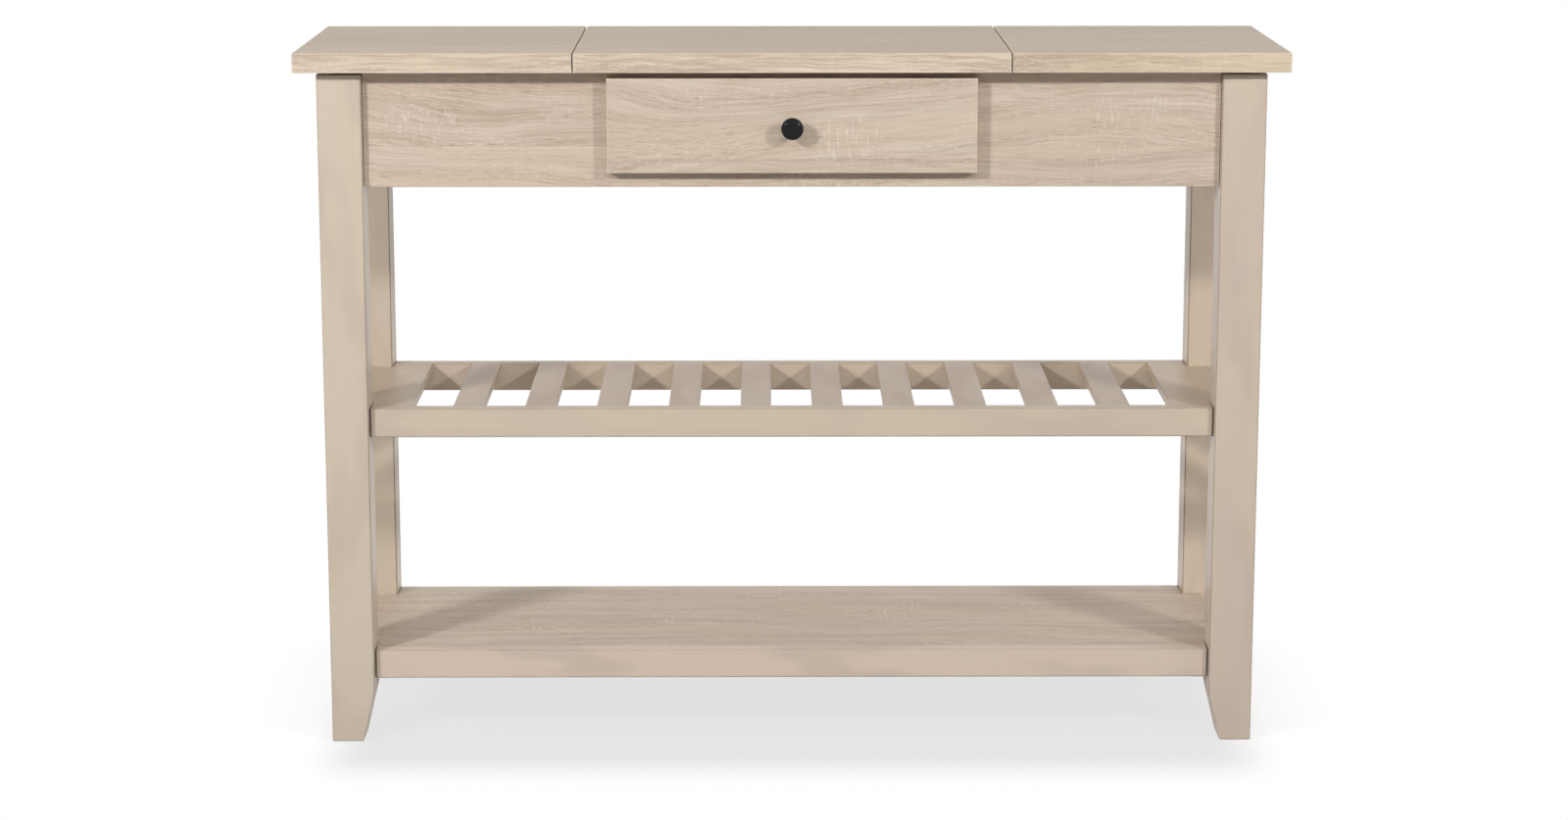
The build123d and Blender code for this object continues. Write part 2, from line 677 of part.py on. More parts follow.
def shelf_end_rail(side, name, bottom, top):
    """Short rail from front leg to back leg under the end of a shelf."""
    x = (side * (shelf_end_x - end_rail_thickness), side * shelf_end_x)
    y = (front_leg_inner_y + joint_gap, back_leg_inner_y - joint_gap)
    rail = block(x, y, (bottom, top))
    add("shelf_end_rails", rail)
    middle_x = side * (shelf_end_x - end_rail_thickness / 2)
    middle_z = (bottom + top) / 2
    for end, joint_y in (("front", y[0] - joint_gap / 2), ("back", y[1] + joint_gap / 2)):
        dowel((middle_x, joint_y, middle_z), (0, 1, 0), "shelf_end_rails", f"{end}_{name}_leg")


def notched_end(side, inner_x, y, z):
    """Board at a shelf's end: full depth between the rails, narrower where it passes the legs."""
    between = (front_leg_inner_y + joint_gap, back_leg_inner_y - joint_gap)
    wide = block((side * inner_x, side * rail_end_x), y, z)
    return wide + block((side * inner_x, side * shelf_end_x), between, z)


def tenons(x, y, z, tools=False):
    """Tenon at each end of a slat, or the mortise for it."""
    grow = tenon_clearance if tools else 0
    middle_z = (z[0] + z[1]) / 2
    half_w, half_t = tenon_width / 2 + grow, tenon_thickness / 2 + grow
    reach = tenon_length + grow
    limits = ((x - half_w, x + half_w), (middle_z - half_t, middle_z + half_t))
    return [
        block(limits[0], (y[0] - reach, y[0]), limits[1]),
        block(limits[0], (y[1], y[1] + reach), limits[1]),
    ]


def make_bottle_shelf():
    """Rails, notched end boards and slats that leave slots for bottles."""
    level = bottle_shelf_height
    shelf_rails("bottle_shelf", level, slat_thickness)
    y = (rail_front_y + shelf_rail_thickness, rail_back_y - shelf_rail_thickness)
    z = (level - slat_thickness, level)
    mortises = []
    for index in range(slat_count):
        x = (index - (slat_count - 1) / 2) * slat_pitch
        slat = block((x - slat_width / 2, x + slat_width / 2), y, z)
        slat = fillet([e for e in running(slat, "Y") if e.center().Z > level - 0.01], slat_arris)
        add("bottle_slats", slat + tenons(x, y, z))
        mortises += tenons(x, y, z, tools=True)
    inner_x = (slat_count - 1) / 2 * slat_pitch + slat_width / 2 + slot_width
    for side, name in ((-1, "left"), (1, "right")):
        board = notched_end(side, inner_x, y, z)
        x = side * (inner_x + rail_end_x - dowel_length / 2) / 2
        add(f"bottle_shelf_{name}_board", board + tenons(x, y, z))
        mortises += tenons(x, y, z, tools=True)
        shelf_end_rail(side, name, level - shelf_rail_height, level - slat_thickness)
    for mortise in mortises:
        node = "bottle_shelf_front_rail" if mortise.center().Y < 0 else "bottle_shelf_back_rail"
        cut(mortise, node)


def make_lower_shelf():
    """Rails and one notched board, level with the rails' tops."""
    level = lower_shelf_height
    shelf_rails("lower_shelf", level, lower_board_thickness)
    y = (rail_front_y + shelf_rail_thickness, rail_back_y - shelf_rail_thickness)
    z = (level - lower_board_thickness, level)
    board = block((-rail_end_x, rail_end_x), y, z)
    for side, name in ((-1, "left"), (1, "right")):
        board = board + notched_end(side, 0, y, z)
        shelf_end_rail(side, name, level - shelf_rail_height, level - lower_board_thickness)
    add("lower_shelf_board", board)
    for index in range(panel_dowel_count):
        x = (index - (panel_dowel_count - 1) / 2) * 2 * rail_end_x * 0.9 / (panel_dowel_count - 1)
        middle_z = level - lower_board_thickness / 2
        panel_dowel((x, y[0], middle_z), (0, 1, 0), "lower_shelf_board", "lower_shelf_front_rail")
        panel_dowel((x, y[1], middle_z), (0, 1, 0), "lower_shelf_board", "lower_shelf_back_rail")


def write_nodes():
    """Cuts the holes that each solid meets and writes one file for each node."""
    os.makedirs("parts", exist_ok=True)
    for name, solids in pieces.items():
        tools = cuts.get(name, [])
        finished = []
        for solid in solids:
            box = solid.bounding_box()
            near = [tool for tool in tools if boxes_meet(box, tool.bounding_box())]
            result = solid - near if near else solid
            finished.extend(result.solids())
        export_step(Compound(finished), f"parts/{name}.step")


def boxes_meet(a, b):
    """True if two bounding boxes overlap."""
    lows_a, highs_a = tuple(a.min), tuple(a.max)
    lows_b, highs_b = tuple(b.min), tuple(b.max)
    return all(lows_a[i] < highs_b[i] and lows_b[i] < highs_a[i] for i in range(3))


make_top()
make_legs()
make_aprons()
make_corner_braces()
make_top_fixings()
make_partitions()
make_runners()
make_drawer()
make_knob()
make_bottle_shelf()
make_lower_shelf()
write_nodes()
print("nodes", len(pieces))
print("drawer travel", round(drawer_travel, 2))
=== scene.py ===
import math

import bmesh
import bpy
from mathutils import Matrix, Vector


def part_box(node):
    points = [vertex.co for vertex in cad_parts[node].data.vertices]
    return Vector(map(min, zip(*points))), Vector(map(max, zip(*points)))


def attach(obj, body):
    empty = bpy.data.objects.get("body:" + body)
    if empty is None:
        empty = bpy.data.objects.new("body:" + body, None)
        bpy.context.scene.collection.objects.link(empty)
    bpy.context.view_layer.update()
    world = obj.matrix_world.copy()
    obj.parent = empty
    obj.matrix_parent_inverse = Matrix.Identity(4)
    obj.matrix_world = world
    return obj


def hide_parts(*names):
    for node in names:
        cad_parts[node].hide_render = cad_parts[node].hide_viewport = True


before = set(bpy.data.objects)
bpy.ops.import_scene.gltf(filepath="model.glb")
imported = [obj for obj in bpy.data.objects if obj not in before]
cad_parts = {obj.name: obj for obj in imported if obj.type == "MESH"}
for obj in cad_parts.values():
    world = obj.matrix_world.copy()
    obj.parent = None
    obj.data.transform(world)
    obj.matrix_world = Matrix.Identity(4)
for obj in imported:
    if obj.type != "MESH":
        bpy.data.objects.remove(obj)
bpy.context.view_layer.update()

# Dining server: one drawer, a slatted bottle shelf and a lower shelf. Metres, front towards -Y.

MM = 0.001
X, Y, Z = (1, 0, 0), (0, 1, 0), (0, 0, 1)


def tone(code):
    """Linear colour of a paint-chart code such as #D3C5AD."""
    parts = [int(code[i:i + 2], 16) / 255 for i in (1, 3, 5)]
    return tuple(c / 12.92 if c <= 0.04045 else ((c + 0.055) / 1.055) ** 2.4 for c in parts) + (1,)


# Laying out node trees

# Streaks with a shift of their own are moved this many times as far across the grain as along it
ACROSS_SHIFT = 1.7


class Bench:
    """Lays out the nodes of one tree."""

    def __init__(self, tree):
        self.tree = tree

    def node(self, kind, inputs=None, **settings):
        made = self.tree.nodes.new(kind)
        for name, value in settings.items():
            setattr(made, name, value)
        for key, value in (inputs or {}).items():
            self.feed(made.inputs[key], value)
        return made

    def feed(self, socket, value):
        """Links the value to the socket or sets it there, a paint-chart code as its colour."""
        if isinstance(value, bpy.types.NodeSocket):
            self.tree.links.new(value, socket)
        elif isinstance(value, str) and value.startswith("#"):
            socket.default_value = tone(value)
        else:
            socket.default_value = value

    def math(self, operation, first, second=0.0, third=0.0):
        made = self.node("ShaderNodeMath", {0: first, 1: second, 2: third}, operation=operation)
        return made.outputs[0]

    def plus(self, value, more):
        return self.math("ADD", value, more)

    def minus(self, value, less):
        return self.math("SUBTRACT", value, less)

    def times(self, value, factor):
        return self.math("MULTIPLY", value, factor)

    def scaled(self, value, factor, start):
        """The value times the factor, plus start."""
        return self.math("MULTIPLY_ADD", value, factor, start)

    def vector(self, operation, first, second=(0, 0, 0)):
        made = self.node("ShaderNodeVectorMath", {0: first, 1: second}, operation=operation)
        return made.outputs["Value" if operation in ("DOT_PRODUCT", "LENGTH") else "Vector"]

    def split(self, vector):
        return self.node("ShaderNodeSeparateXYZ", {0: vector}).outputs

    def join(self, x=0.0, y=0.0, z=0.0):
        return self.node("ShaderNodeCombineXYZ", {0: x, 1: y, 2: z}).outputs[0]

    def mix(self, factor, low, high):
        """Colour between low and high."""
        made = self.node("ShaderNodeMix", {0: factor, 6: low, 7: high}, data_type="RGBA")
        return made.outputs[2]

    def step(self, value, low, high, start=0.0, end=1.0):
        """Smooth step from start to end while value goes from low to high."""
        inputs = {"Value": value, "From Min": low, "From Max": high, "To Min": start, "To Max": end}
        return self.node("ShaderNodeMapRange", inputs, interpolation_type="SMOOTHSTEP").outputs[0]

    def clamp(self, value):
        return self.node("ShaderNodeClamp", {0: value}).outputs[0]

    def centred(self, noise):
        """Noise that runs about 0 in place of 0.5."""
        return self.minus(noise, 0.5)

    def at_least(self, least, mask):
        """The mask, lifted so that it runs from least to 1."""
        return self.scaled(mask, 1 - least, least)

    def noise(self, vector, detail=0.0, scale=1.0, dims="2D"):
        inputs = {"Vector": vector, "Scale": scale, "Detail": detail}
        return self.node("ShaderNodeTexNoise", inputs, noise_dimensions=dims).outputs[0]

    def grain(self, position, scale, detail=2.0):
        """Noise all through a piece, with that many cells in a metre."""
        return self.noise(position, detail, scale, dims="3D")

    def streaks(self, along, across, per_metre, detail=0.0, shift=0.0):
        """Noise drawn out along the grain: per_metre gives how many cells along and across."""
        x = self.scaled(along, per_metre[0], shift)
        y = self.scaled(across, per_metre[1], shift * ACROSS_SHIFT)
        return self.noise(self.join(x, y), detail)

    def directly_seen(self):
        """1 where a camera, glossy or transmission ray looks, 0 where light is gathered."""
        path = self.node("ShaderNodeLightPath").outputs
        seen = self.math("MAXIMUM", path["Is Camera Ray"], path["Is Glossy Ray"])
        return self.math("MAXIMUM", seen, path["Is Transmission Ray"])


class GroupBench(Bench):
    """Lays out a node group. Inputs and outputs are labels, listed under their kind of socket."""

    def __init__(self, name, outputs, tree_kind="ShaderNodeTree", **inputs):
        tree = bpy.data.node_groups.new(name, tree_kind)
        for way, sockets in (("INPUT", inputs), ("OUTPUT", outputs)):
            for kind, labels in sockets.items():
                for label in labels:
                    tree.interface.new_socket(label, in_out=way, socket_type="NodeSocket" + kind)
        super().__init__(tree)
        self.given = self.node("NodeGroupInput").outputs

    def __getitem__(self, label):
        """The group's own input of that label."""
        return self.given[label]

    def result(self, **values):
        """Closes the group with its results."""
        self.node("NodeGroupOutput", values)
        return self.tree


# Effects shared by finishes

# What an effect hands to the shader
FINISH = {"Color": ["Color"], "Float": ["Roughness", "Height"]}

# A face shows end grain when the cosine of its normal to the grain is over this
END_GRAIN = 0.75


def make_board_layout():
    """Lays a flat sheet of grain on a board: Along runs with the grain, Across over its faces."""
    b = GroupBench(
        "board layout", {"Float": ["Along", "Across"]},
        Vector=["Position", "Facing", "Grain", "End Grain"],
        Float=["Shift Along", "Shift Across"],
    )
    on_end = b.vector("DOT_PRODUCT", b["Facing"], b["Grain"])
    on_end = b.math("GREATER_THAN", b.math("ABSOLUTE", on_end), END_GRAIN)
    side = b.vector("DOT_PRODUCT", b["Position"], b["Grain"])
    end = b.vector("DOT_PRODUCT", b["Position"], b["End Grain"])
    along = b.node("ShaderNodeMix", {0: on_end, 2: side, 3: end}, data_type="FLOAT").outputs[0]
    total = b.vector("DOT_PRODUCT", b["Position"], (1, 1, 1))
    across = b.plus(b.minus(total, along), b["Shift Across"])
    return b.result(Along=b.plus(along, b["Shift Along"]), Across=across)


# Cells in a metre of the noise that makes an arris ragged, and the share of its width that
# keeps the full strength
RAG_CELLS = 90.0
FULL_ARRIS = 0.25


def make_arris():
    """Mask that is 1 on the edges of a box-shaped piece and 0 on its faces, a little ragged."""
    b = GroupBench(
        "arris", {"Float": ["Mask"]},
        Vector=["Position", "Low", "High"], Float=["Width", "Raggedness"],
    )
    from_low = b.vector("ABSOLUTE", b.vector("SUBTRACT", b["Position"], b["Low"]))
    from_high = b.vector("ABSOLUTE", b.vector("SUBTRACT", b["High"], b["Position"]))
    x, y, z = b.split(b.vector("MINIMUM", from_low, from_high))

    # An edge lies near two of the box's faces, so the middle one of the three distances is small
    least = b.math("MINIMUM", x, y)
    middle = b.math("MAXIMUM", least, b.math("MINIMUM", b.math("MAXIMUM", x, y), z))
    rag = b.times(b.centred(b.grain(b["Position"], RAG_CELLS)), b["Raggedness"])
    width = b.times(b["Width"], b.scaled(rag, 2.0, 1.0))
    return b.result(Mask=b.step(middle, b.times(width, FULL_ARRIS), width, 1.0, 0.0))


# The wood figure on every board: how far apart its staves are cut and how much they differ,
# the height of its ripples in metres, and the shares, roughness and relief of its marks
STAVE_SHIFT_ALONG, STAVE_SHIFT_ACROSS = 5.0, 3.0
STAVE_CONTRAST = 0.2
RIPPLE_HEIGHT = 0.006
BROAD_SHARE, FINE_SHARE, HAIR_SHARE = 0.28, 0.36, 0.36
STREAK_GAIN = 6.0
WARM_SHARE = 0.4
PORES_IN_CLOSE_GRAIN, LIME_OUTSIDE_PATCHES = 0.15, 0.2
PORE_ROUGHNESS, STREAK_ROUGHNESS = 0.12, 0.15
HAIR_RELIEF, PORE_RELIEF, SAW_RELIEF = 0.30, -0.45, 0.15


def make_wood_figure():
    """Grain of a flat-sawn board, with pores, limed flecks, saw marks and glued staves."""
    b = GroupBench(
        "wood figure", FINISH,
        Color=["Deep", "Pale", "Warm", "Pore Colour", "Fleck Colour"],
        Float=[
            "Along", "Across", "Stave Width", "Waviness",
            "Streaks", "Pores", "Flecks", "Saw Marks", "Roughness",
        ],
    )
    along, across = b["Along"], b["Across"]

    # Each stave is cut from another place of the sheet of grain
    stave = b.math("FLOOR", b.math("DIVIDE", across, b["Stave Width"]))
    pick = b.node("ShaderNodeTexWhiteNoise", {"W": stave}, noise_dimensions="1D")
    red, green, blue = b.split(pick.outputs["Color"])
    u = b.scaled(red, STAVE_SHIFT_ALONG, along)
    v = b.scaled(green, STAVE_SHIFT_ACROSS, across)

    # Level lines of the trunk: everything drawn on "ring" follows the same sweeps
    sweep = b.centred(b.streaks(u, v, (2.3, 8.5), detail=1.0, shift=4.1))
    ripple = b.centred(b.streaks(u, v, (16.0, 38.0), detail=1.0, shift=8.3))
    ring = b.scaled(sweep, b["Waviness"], v)
    ring = b.scaled(ripple, RIPPLE_HEIGHT, ring)

    # Streaks of three widths between the deep and the pale colour, with warmer patches
    broad = b.streaks(u, ring, (2.0, 44.0), detail=1.0, shift=1.7)
    fine = b.streaks(u, ring, (9.0, 250.0), detail=1.5, shift=6.2)
    hair = b.streaks(u, ring, (20.0, 620.0), detail=1.5, shift=3.9)
    mixed = b.times(broad, BROAD_SHARE)
    mixed = b.scaled(fine, FINE_SHARE, mixed)
    mixed = b.scaled(hair, HAIR_SHARE, mixed)
    spread = b.times(b.centred(mixed), b["Streaks"])
    level = b.scaled(spread, STREAK_GAIN, 0.5)
    level = b.plus(level, b.times(b.centred(blue), STAVE_CONTRAST))
    colour = b.mix(b.clamp(level), b["Deep"], b["Pale"])
    patch = b.step(b.streaks(u, ring, (2.0, 18.0), detail=1.0, shift=9.4), 0.5, 0.7)
    colour = b.mix(b.times(patch, WARM_SHARE), colour, b["Warm"])

    # Dark pores, mostly where the grain is open
    open_grain = b.step(broad, 0.58, 0.40)
    pores = b.step(b.streaks(u, ring, (44.0, 840.0), detail=2.0, shift=2.3), 0.56, 0.72)
    pores = b.times(pores, b.at_least(PORES_IN_CLOSE_GRAIN, open_grain))
    colour = b.mix(b.times(pores, b["Pores"]), colour, b["Pore Colour"])

    # Pale lime in short lines, mostly in patches
    lime = b.step(b.streaks(u, ring, (110.0, 900.0), shift=5.6), 0.64, 0.80)
    limed = b.step(b.streaks(u, ring, (5.0, 30.0), shift=7.1), 0.42, 0.62)
    lime = b.times(lime, b.at_least(LIME_OUTSIDE_PATCHES, limed))
    colour = b.mix(b.times(lime, b["Flecks"]), colour, b["Fleck Colour"])

    # Pale saw marks across the grain, in patches
    saw_rows = b.step(b.streaks(u, v, (260.0, 46.0), detail=1.0, shift=7.7), 0.56, 0.76)
    saw_patch = b.step(b.streaks(u, v, (7.0, 14.0), shift=0.6), 0.60, 0.74)
    saw = b.times(b.times(saw_rows, saw_patch), b["Saw Marks"])
    colour = b.mix(saw, colour, b["Fleck Colour"])

    rough = b.scaled(pores, PORE_ROUGHNESS, b["Roughness"])
    rough = b.scaled(b.centred(fine), STREAK_ROUGHNESS, rough)
    height = b.scaled(hair, HAIR_RELIEF, 0.5)
    height = b.scaled(pores, PORE_RELIEF, height)
    height = b.scaled(saw, SAW_RELIEF, height)
    return b.result(Color=colour, Roughness=rough, Height=height)


# The timber's lines under the lacquer, and how clouds, lines and brush marks vary it
TIMBER_LINE = (0.16, 0.11, 0.07, 1)
LACQUER_CLOUD_ROUGHNESS, LACQUER_LINE_ROUGHNESS = 0.16, 0.5
BRUSH_RELIEF, PEEL_RELIEF = 0.6, 0.4


def make_lacquer():
    """Sprayed beige lacquer over a toned glaze, with the faint lines of the timber under it."""
    b = GroupBench(
        "lacquer", FINISH,
        Color=["Ground", "Warm", "Cool"],
        Float=["Along", "Across", "Mottle", "Telegraph", "Roughness"],
    )
    along, across = b["Along"], b["Across"]
    drift = b.streaks(along, across, (3.0, 24.0), detail=3.0, shift=2.2)
    cloud = b.streaks(along, across, (6.0, 16.0), detail=2.0, shift=7.9)
    brush = b.streaks(along, across, (9.0, 330.0), detail=2.0, shift=5.1)
    peel = b.streaks(along, across, (420.0, 420.0), detail=1.0, shift=3.3)
    warm = b.times(b.step(drift, 0.42, 0.62), b["Mottle"])
    cool = b.times(b.step(cloud, 0.46, 0.66), b["Mottle"])
    colour = b.mix(warm, b["Ground"], b["Warm"])
    colour = b.mix(cool, colour, b["Cool"])
    line = b.times(b.step(brush, 0.56, 0.40), b["Telegraph"])
    colour = b.mix(line, colour, TIMBER_LINE)
    rough = b.scaled(b.centred(cloud), LACQUER_CLOUD_ROUGHNESS, b["Roughness"])
    rough = b.scaled(line, LACQUER_LINE_ROUGHNESS, rough)
    height = b.scaled(brush, BRUSH_RELIEF, b.times(peel, PEEL_RELIEF))
    return b.result(Color=colour, Roughness=rough, Height=height)


# Plating: cells in a metre, and how spots and grit roughen and raise it
SPANGLE_CELLS, CLOUD_CELLS, GRIT_CELLS = 420.0, 55.0, 900.0
RUB_ROUGHNESS, GRIT_ROUGHNESS = 0.35, 0.2
GRIT_RELIEF, CLOUD_RELIEF = 0.7, 0.3


def make_plating():
    """Plated or enamelled metal: cloudy tone, spangle, fine grit and rubbed spots."""
    b = GroupBench(
        "plating", FINISH,
        Vector=["Position"], Color=["Ground", "Rubbed"], Float=["Spangle", "Rub", "Roughness"],
    )
    cells = {"Vector": b["Position"], "Scale": SPANGLE_CELLS}
    flake = b.split(b.node("ShaderNodeTexVoronoi", cells).outputs["Color"])[0]
    flake = b.times(b.centred(flake), b["Spangle"])
    cloud = b.grain(b["Position"], CLOUD_CELLS, detail=3.0)
    grit = b.grain(b["Position"], GRIT_CELLS)
    rub = b.times(b.step(cloud, 0.52, 0.70), b["Rub"])
    colour = b.mix(rub, b["Ground"], b["Rubbed"])
    colour = b.mix(b.math("ABSOLUTE", flake), colour, b["Rubbed"])
    rough = b.plus(b.scaled(rub, RUB_ROUGHNESS, b["Roughness"]), flake)
    rough = b.scaled(b.centred(grit), GRIT_ROUGHNESS, rough)
    height = b.scaled(grit, GRIT_RELIEF, b.times(cloud, CLOUD_RELIEF))
    return b.result(Color=colour, Roughness=rough, Height=height)


# Moulded parts: cells in a metre, and how much their skin varies
FLOW_CELLS, SKIN_CELLS = 130.0, 1500.0
SKIN_ROUGHNESS = 0.16


def make_moulding():
    """Moulded plastic or rubber: faint flow clouding and a fine matt skin."""
    b = GroupBench(
        "moulding", FINISH,
        Vector=["Position"], Color=["Ground", "Shade"], Float=["Clouding", "Roughness"],
    )
    cloud = b.grain(b["Position"], FLOW_CELLS)
    skin = b.grain(b["Position"], SKIN_CELLS)
    factor = b.times(b.step(cloud, 0.40, 0.66), b["Clouding"])
    colour = b.mix(factor, b["Ground"], b["Shade"])
    rough = b.scaled(skin, SKIN_ROUGHNESS, b["Roughness"])
    return b.result(Color=colour, Roughness=rough, Height=skin)


# Felted fibres: the level that they shade about and how strongly, the cells in a metre of
# their clouding, the strength of the shives, and the roughness over its least value
FIBRE_MIDDLE, FIBRE_CONTRAST = 0.56, 2.2
FELT_CLOUD_CELLS = 22.0
SHIVE_STRENGTH = 0.5
FIBRE_ROUGHNESS, FELT_ROUGHNESS = 0.3, 0.32


def make_felted():
    """Pressed fibres lying every way, with darker shives among them."""
    b = GroupBench("felted fibres", FINISH, Vector=["Position"], Color=["Ground", "Shade"])
    x, y, _ = b.split(b["Position"])
    diagonal = b.plus(x, y)
    counter = b.minus(x, y)
    one_way = b.streaks(diagonal, counter, (260.0, 1100.0), detail=2.0, shift=1.9)
    other_way = b.streaks(counter, diagonal, (240.0, 1000.0), detail=2.0, shift=6.4)
    fibres = b.math("MAXIMUM", one_way, other_way)
    cloud = b.grain(b["Position"], FELT_CLOUD_CELLS, detail=3.0)
    shives = b.step(b.streaks(x, y, (130.0, 620.0), detail=1.0, shift=3.2), 0.66, 0.78)
    level = b.scaled(b.minus(fibres, FIBRE_MIDDLE), FIBRE_CONTRAST, cloud)
    shaded = b.clamp(b.minus(1.0, level))
    colour = b.mix(shaded, b["Ground"], b["Shade"])
    colour = b.mix(b.times(shives, SHIVE_STRENGTH), colour, b["Shade"])
    rough = b.scaled(fibres, FIBRE_ROUGHNESS, FELT_ROUGHNESS)
    return b.result(Color=colour, Roughness=rough, Height=fibres)


BOARD_LAYOUT = make_board_layout()
ARRIS = make_arris()
WOOD_FIGURE = make_wood_figure()
LACQUER = make_lacquer()
PLATING = make_plating()
MOULDING = make_moulding()
FELTED = make_felted()


# Finishes


def new_finish(name):
    """Empty material, the bench for it and its texture coordinates."""
    material = bpy.data.materials.new(name)
    material.use_nodes = True
    material.node_tree.nodes.clear()
    bench = Bench(material.node_tree)
    place = bench.node("ShaderNodeTexCoord").outputs
    return material, bench, place


def placed(bench, tree, inputs):
    """Outputs of the group, with each value set on it by name."""
    return bench.node("ShaderNodeGroup", inputs, node_tree=tree).outputs


def surface(bench, effect, colour, bump, sheen, metallic=0.0, coat=0.0, coat_roughness=0.2):
    """Ends a finish: colour, roughness and height onto the shader."""
    inputs = {"Strength": 1.0, "Distance": bump, "Height": effect["Height"]}
    relief = bench.node("ShaderNodeBump", inputs)
    inputs = {"Base Color": colour, "Metallic": metallic, "Roughness": effect["Roughness"]}
    inputs.update({"Normal": relief.outputs[0], "Specular IOR Level": sheen})
    inputs.update({"Coat Weight": coat, "Coat Roughness": coat_roughness})
    shader = bench.node("ShaderNodeBsdfPrincipled", inputs)
    bench.node("ShaderNodeOutputMaterial", {"Surface": shader.outputs[0]})


# Painted shade in the gap where a rail butts against a leg
# A rail's end darkens towards the leg that it butts against, over these depths from the end
JOINT_STARTS, JOINT_FULL, JOINT_SHADE_COLOUR = 2.0 * MM, 0.9 * MM, "#3E3229"


def board_finish(name, node, effect, values, grain, shift, arris, joint=0.0, **skin):
    """Finish of one board, cut from its sheet of grain where shift says.

    arris is the colour, width, raggedness and strength of its edges, pale as a painted highlight on
    the oak decor and darker on the others, glazed on the lacquer, and joint the strength of the
    painted shade at the ends of a rail along X.
    """
    material, bench, place = new_finish(f"{name} {node}")
    inputs = {"Position": place["Object"], "Facing": place["Normal"]}
    inputs.update({"Grain": grain, "End Grain": Y if grain == X else X})
    inputs["Shift Along"], inputs["Shift Across"] = shift
    layout = placed(bench, BOARD_LAYOUT, inputs)
    values = {**values, "Along": layout["Along"], "Across": layout["Across"]}
    effect = placed(bench, effect, values)

    edge_colour, width, ragged, strength = arris
    low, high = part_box(node)
    inputs = {"Position": place["Object"], "Low": low, "High": high}
    inputs.update({"Width": width, "Raggedness": ragged})
    edges = bench.times(placed(bench, ARRIS, inputs)["Mask"], strength)
    colour = bench.mix(edges, effect["Color"], edge_colour)
    # Painted shade at the rail's ends, where they butt against the legs
    if joint:
        half, middle = (high[0] - low[0]) / 2, (low[0] + high[0]) / 2
        x = bench.split(place["Object"])[0]
        from_middle = bench.math("ABSOLUTE", bench.minus(x, middle))
        ends = bench.step(from_middle, half - JOINT_STARTS, half - JOINT_FULL, 0.0, joint)
        colour = bench.mix(ends, colour, JOINT_SHADE_COLOUR)
    surface(bench, effect, colour, **skin)
    return material


OAK_FOIL = {
    "Deep": "#B9A491", "Pale": "#D6C6B6", "Warm": "#D1C0AA",
    "Pore Colour": "#8F7B6A", "Fleck Colour": "#E6DCCF",
    "Stave Width": 0.137, "Waviness": 0.075, "Streaks": 0.47, "Pores": 0.5,
    "Flecks": 0.4, "Saw Marks": 0.4, "Roughness": 0.5,
}
BARE = {
    "Deep": "#BE9F78", "Pale": "#DFC8A2", "Warm": "#D6B98F",
    "Pore Colour": "#8C6E4C", "Fleck Colour": "#E8D8B8",
    "Stave Width": 0.055, "Waviness": 0.03, "Streaks": 0.5, "Pores": 0.35,
    "Flecks": 0.2, "Saw Marks": 0.1, "Roughness": 0.58,
}
BEIGE = {
    "Ground": "#CABBAA", "Warm": "#CEBFA9", "Cool": "#C3B2A4",
    "Mottle": 0.6, "Telegraph": 0.02, "Roughness": 0.42,
}


def oak_foil(node, grain, shift, edge=0.7, **changes):
    """Bleached oak decor with its printed grain, and a painted highlight along its arrises."""
    return board_finish(
        "oak decor", node, WOOD_FIGURE, {**OAK_FOIL, **changes}, grain, shift,
        # The pale arris colour is a painted highlight along the edges
        arris=("#E6DAC6", 1.5 * MM, 0.5, edge), bump=0.12 * MM, sheen=0.35,
    )


def bare_wood(node, grain, shift):
    """Unfinished rubberwood, as drawer boxes and battens are made of."""
    return board_finish(
        "rubberwood", node, WOOD_FIGURE, BARE, grain, shift,
        arris=("#B08A5C", 1.2 * MM, 0.8, 0.4), bump=0.15 * MM, sheen=0.3,
    )


def beige_lacquer(node, grain, shift, edge=0.5, joint=0.0, **changes):
    """Beige lacquer, with the darker glaze that gathers along the arrises."""
    return board_finish(
        "beige lacquer", node, LACQUER, {**BEIGE, **changes}, grain, shift,
        arris=("#86725F", 2.2 * MM, 0.4, edge), joint=joint,
        bump=0.03 * MM, sheen=0.4, coat=0.12, coat_roughness=0.35,
    )


def even_finish(name, effect, values, **skin):
    """Finish without a grain, from the effect's values by name and the shader's own in skin."""
    material, bench, place = new_finish(name)
    effect = placed(bench, effect, {"Position": place["Object"], **values})
    surface(bench, effect, effect["Color"], **skin)
    return material


def metal(name, ground, rubbed, spangle, rub, roughness, bump=0.03 * MM, sheen=0.5, metallic=0.0):
    """Plated, enamelled or blackened metal."""
    values = {"Ground": ground, "Rubbed": rubbed, "Spangle": spangle, "Rub": rub}
    values["Roughness"] = roughness
    return even_finish(name, PLATING, values, bump=bump, sheen=sheen, metallic=metallic)


def moulded(name, ground, shade, roughness, coat=0.0):
    """Moulded plastic or rubber."""
    values = {"Ground": ground, "Shade": shade, "Clouding": 0.5, "Roughness": roughness}
    skin = {"bump": 0.02 * MM, "sheen": 0.5, "coat": coat, "coat_roughness": 0.15}
    return even_finish(name, MOULDING, values, **skin)


ZINC = metal(
    "zinc plate", "#B9BDC2", "#7E8288", spangle=0.5, rub=0.5, roughness=0.30, metallic=1.0,
)
ENAMEL = metal("runner enamel", "#E9E6DE", "#B9B6AE", spangle=0.05, rub=0.5, roughness=0.32)
BLACK = metal(
    "black knob finish", "#090C0E", "#0F1315",
    spangle=0.03, rub=0.2, roughness=0.14, bump=0.01 * MM, sheen=0.22,
)
NYLON = moulded("white nylon", "#E8E4DA", "#D6D0C2", roughness=0.35)
GLIDE = moulded("glide plastic", "#8F7F6C", "#75675A", roughness=0.45)
RUBBER = moulded("clear bumper rubber", "#D9DAD6", "#BFC1BD", roughness=0.25, coat=0.3)

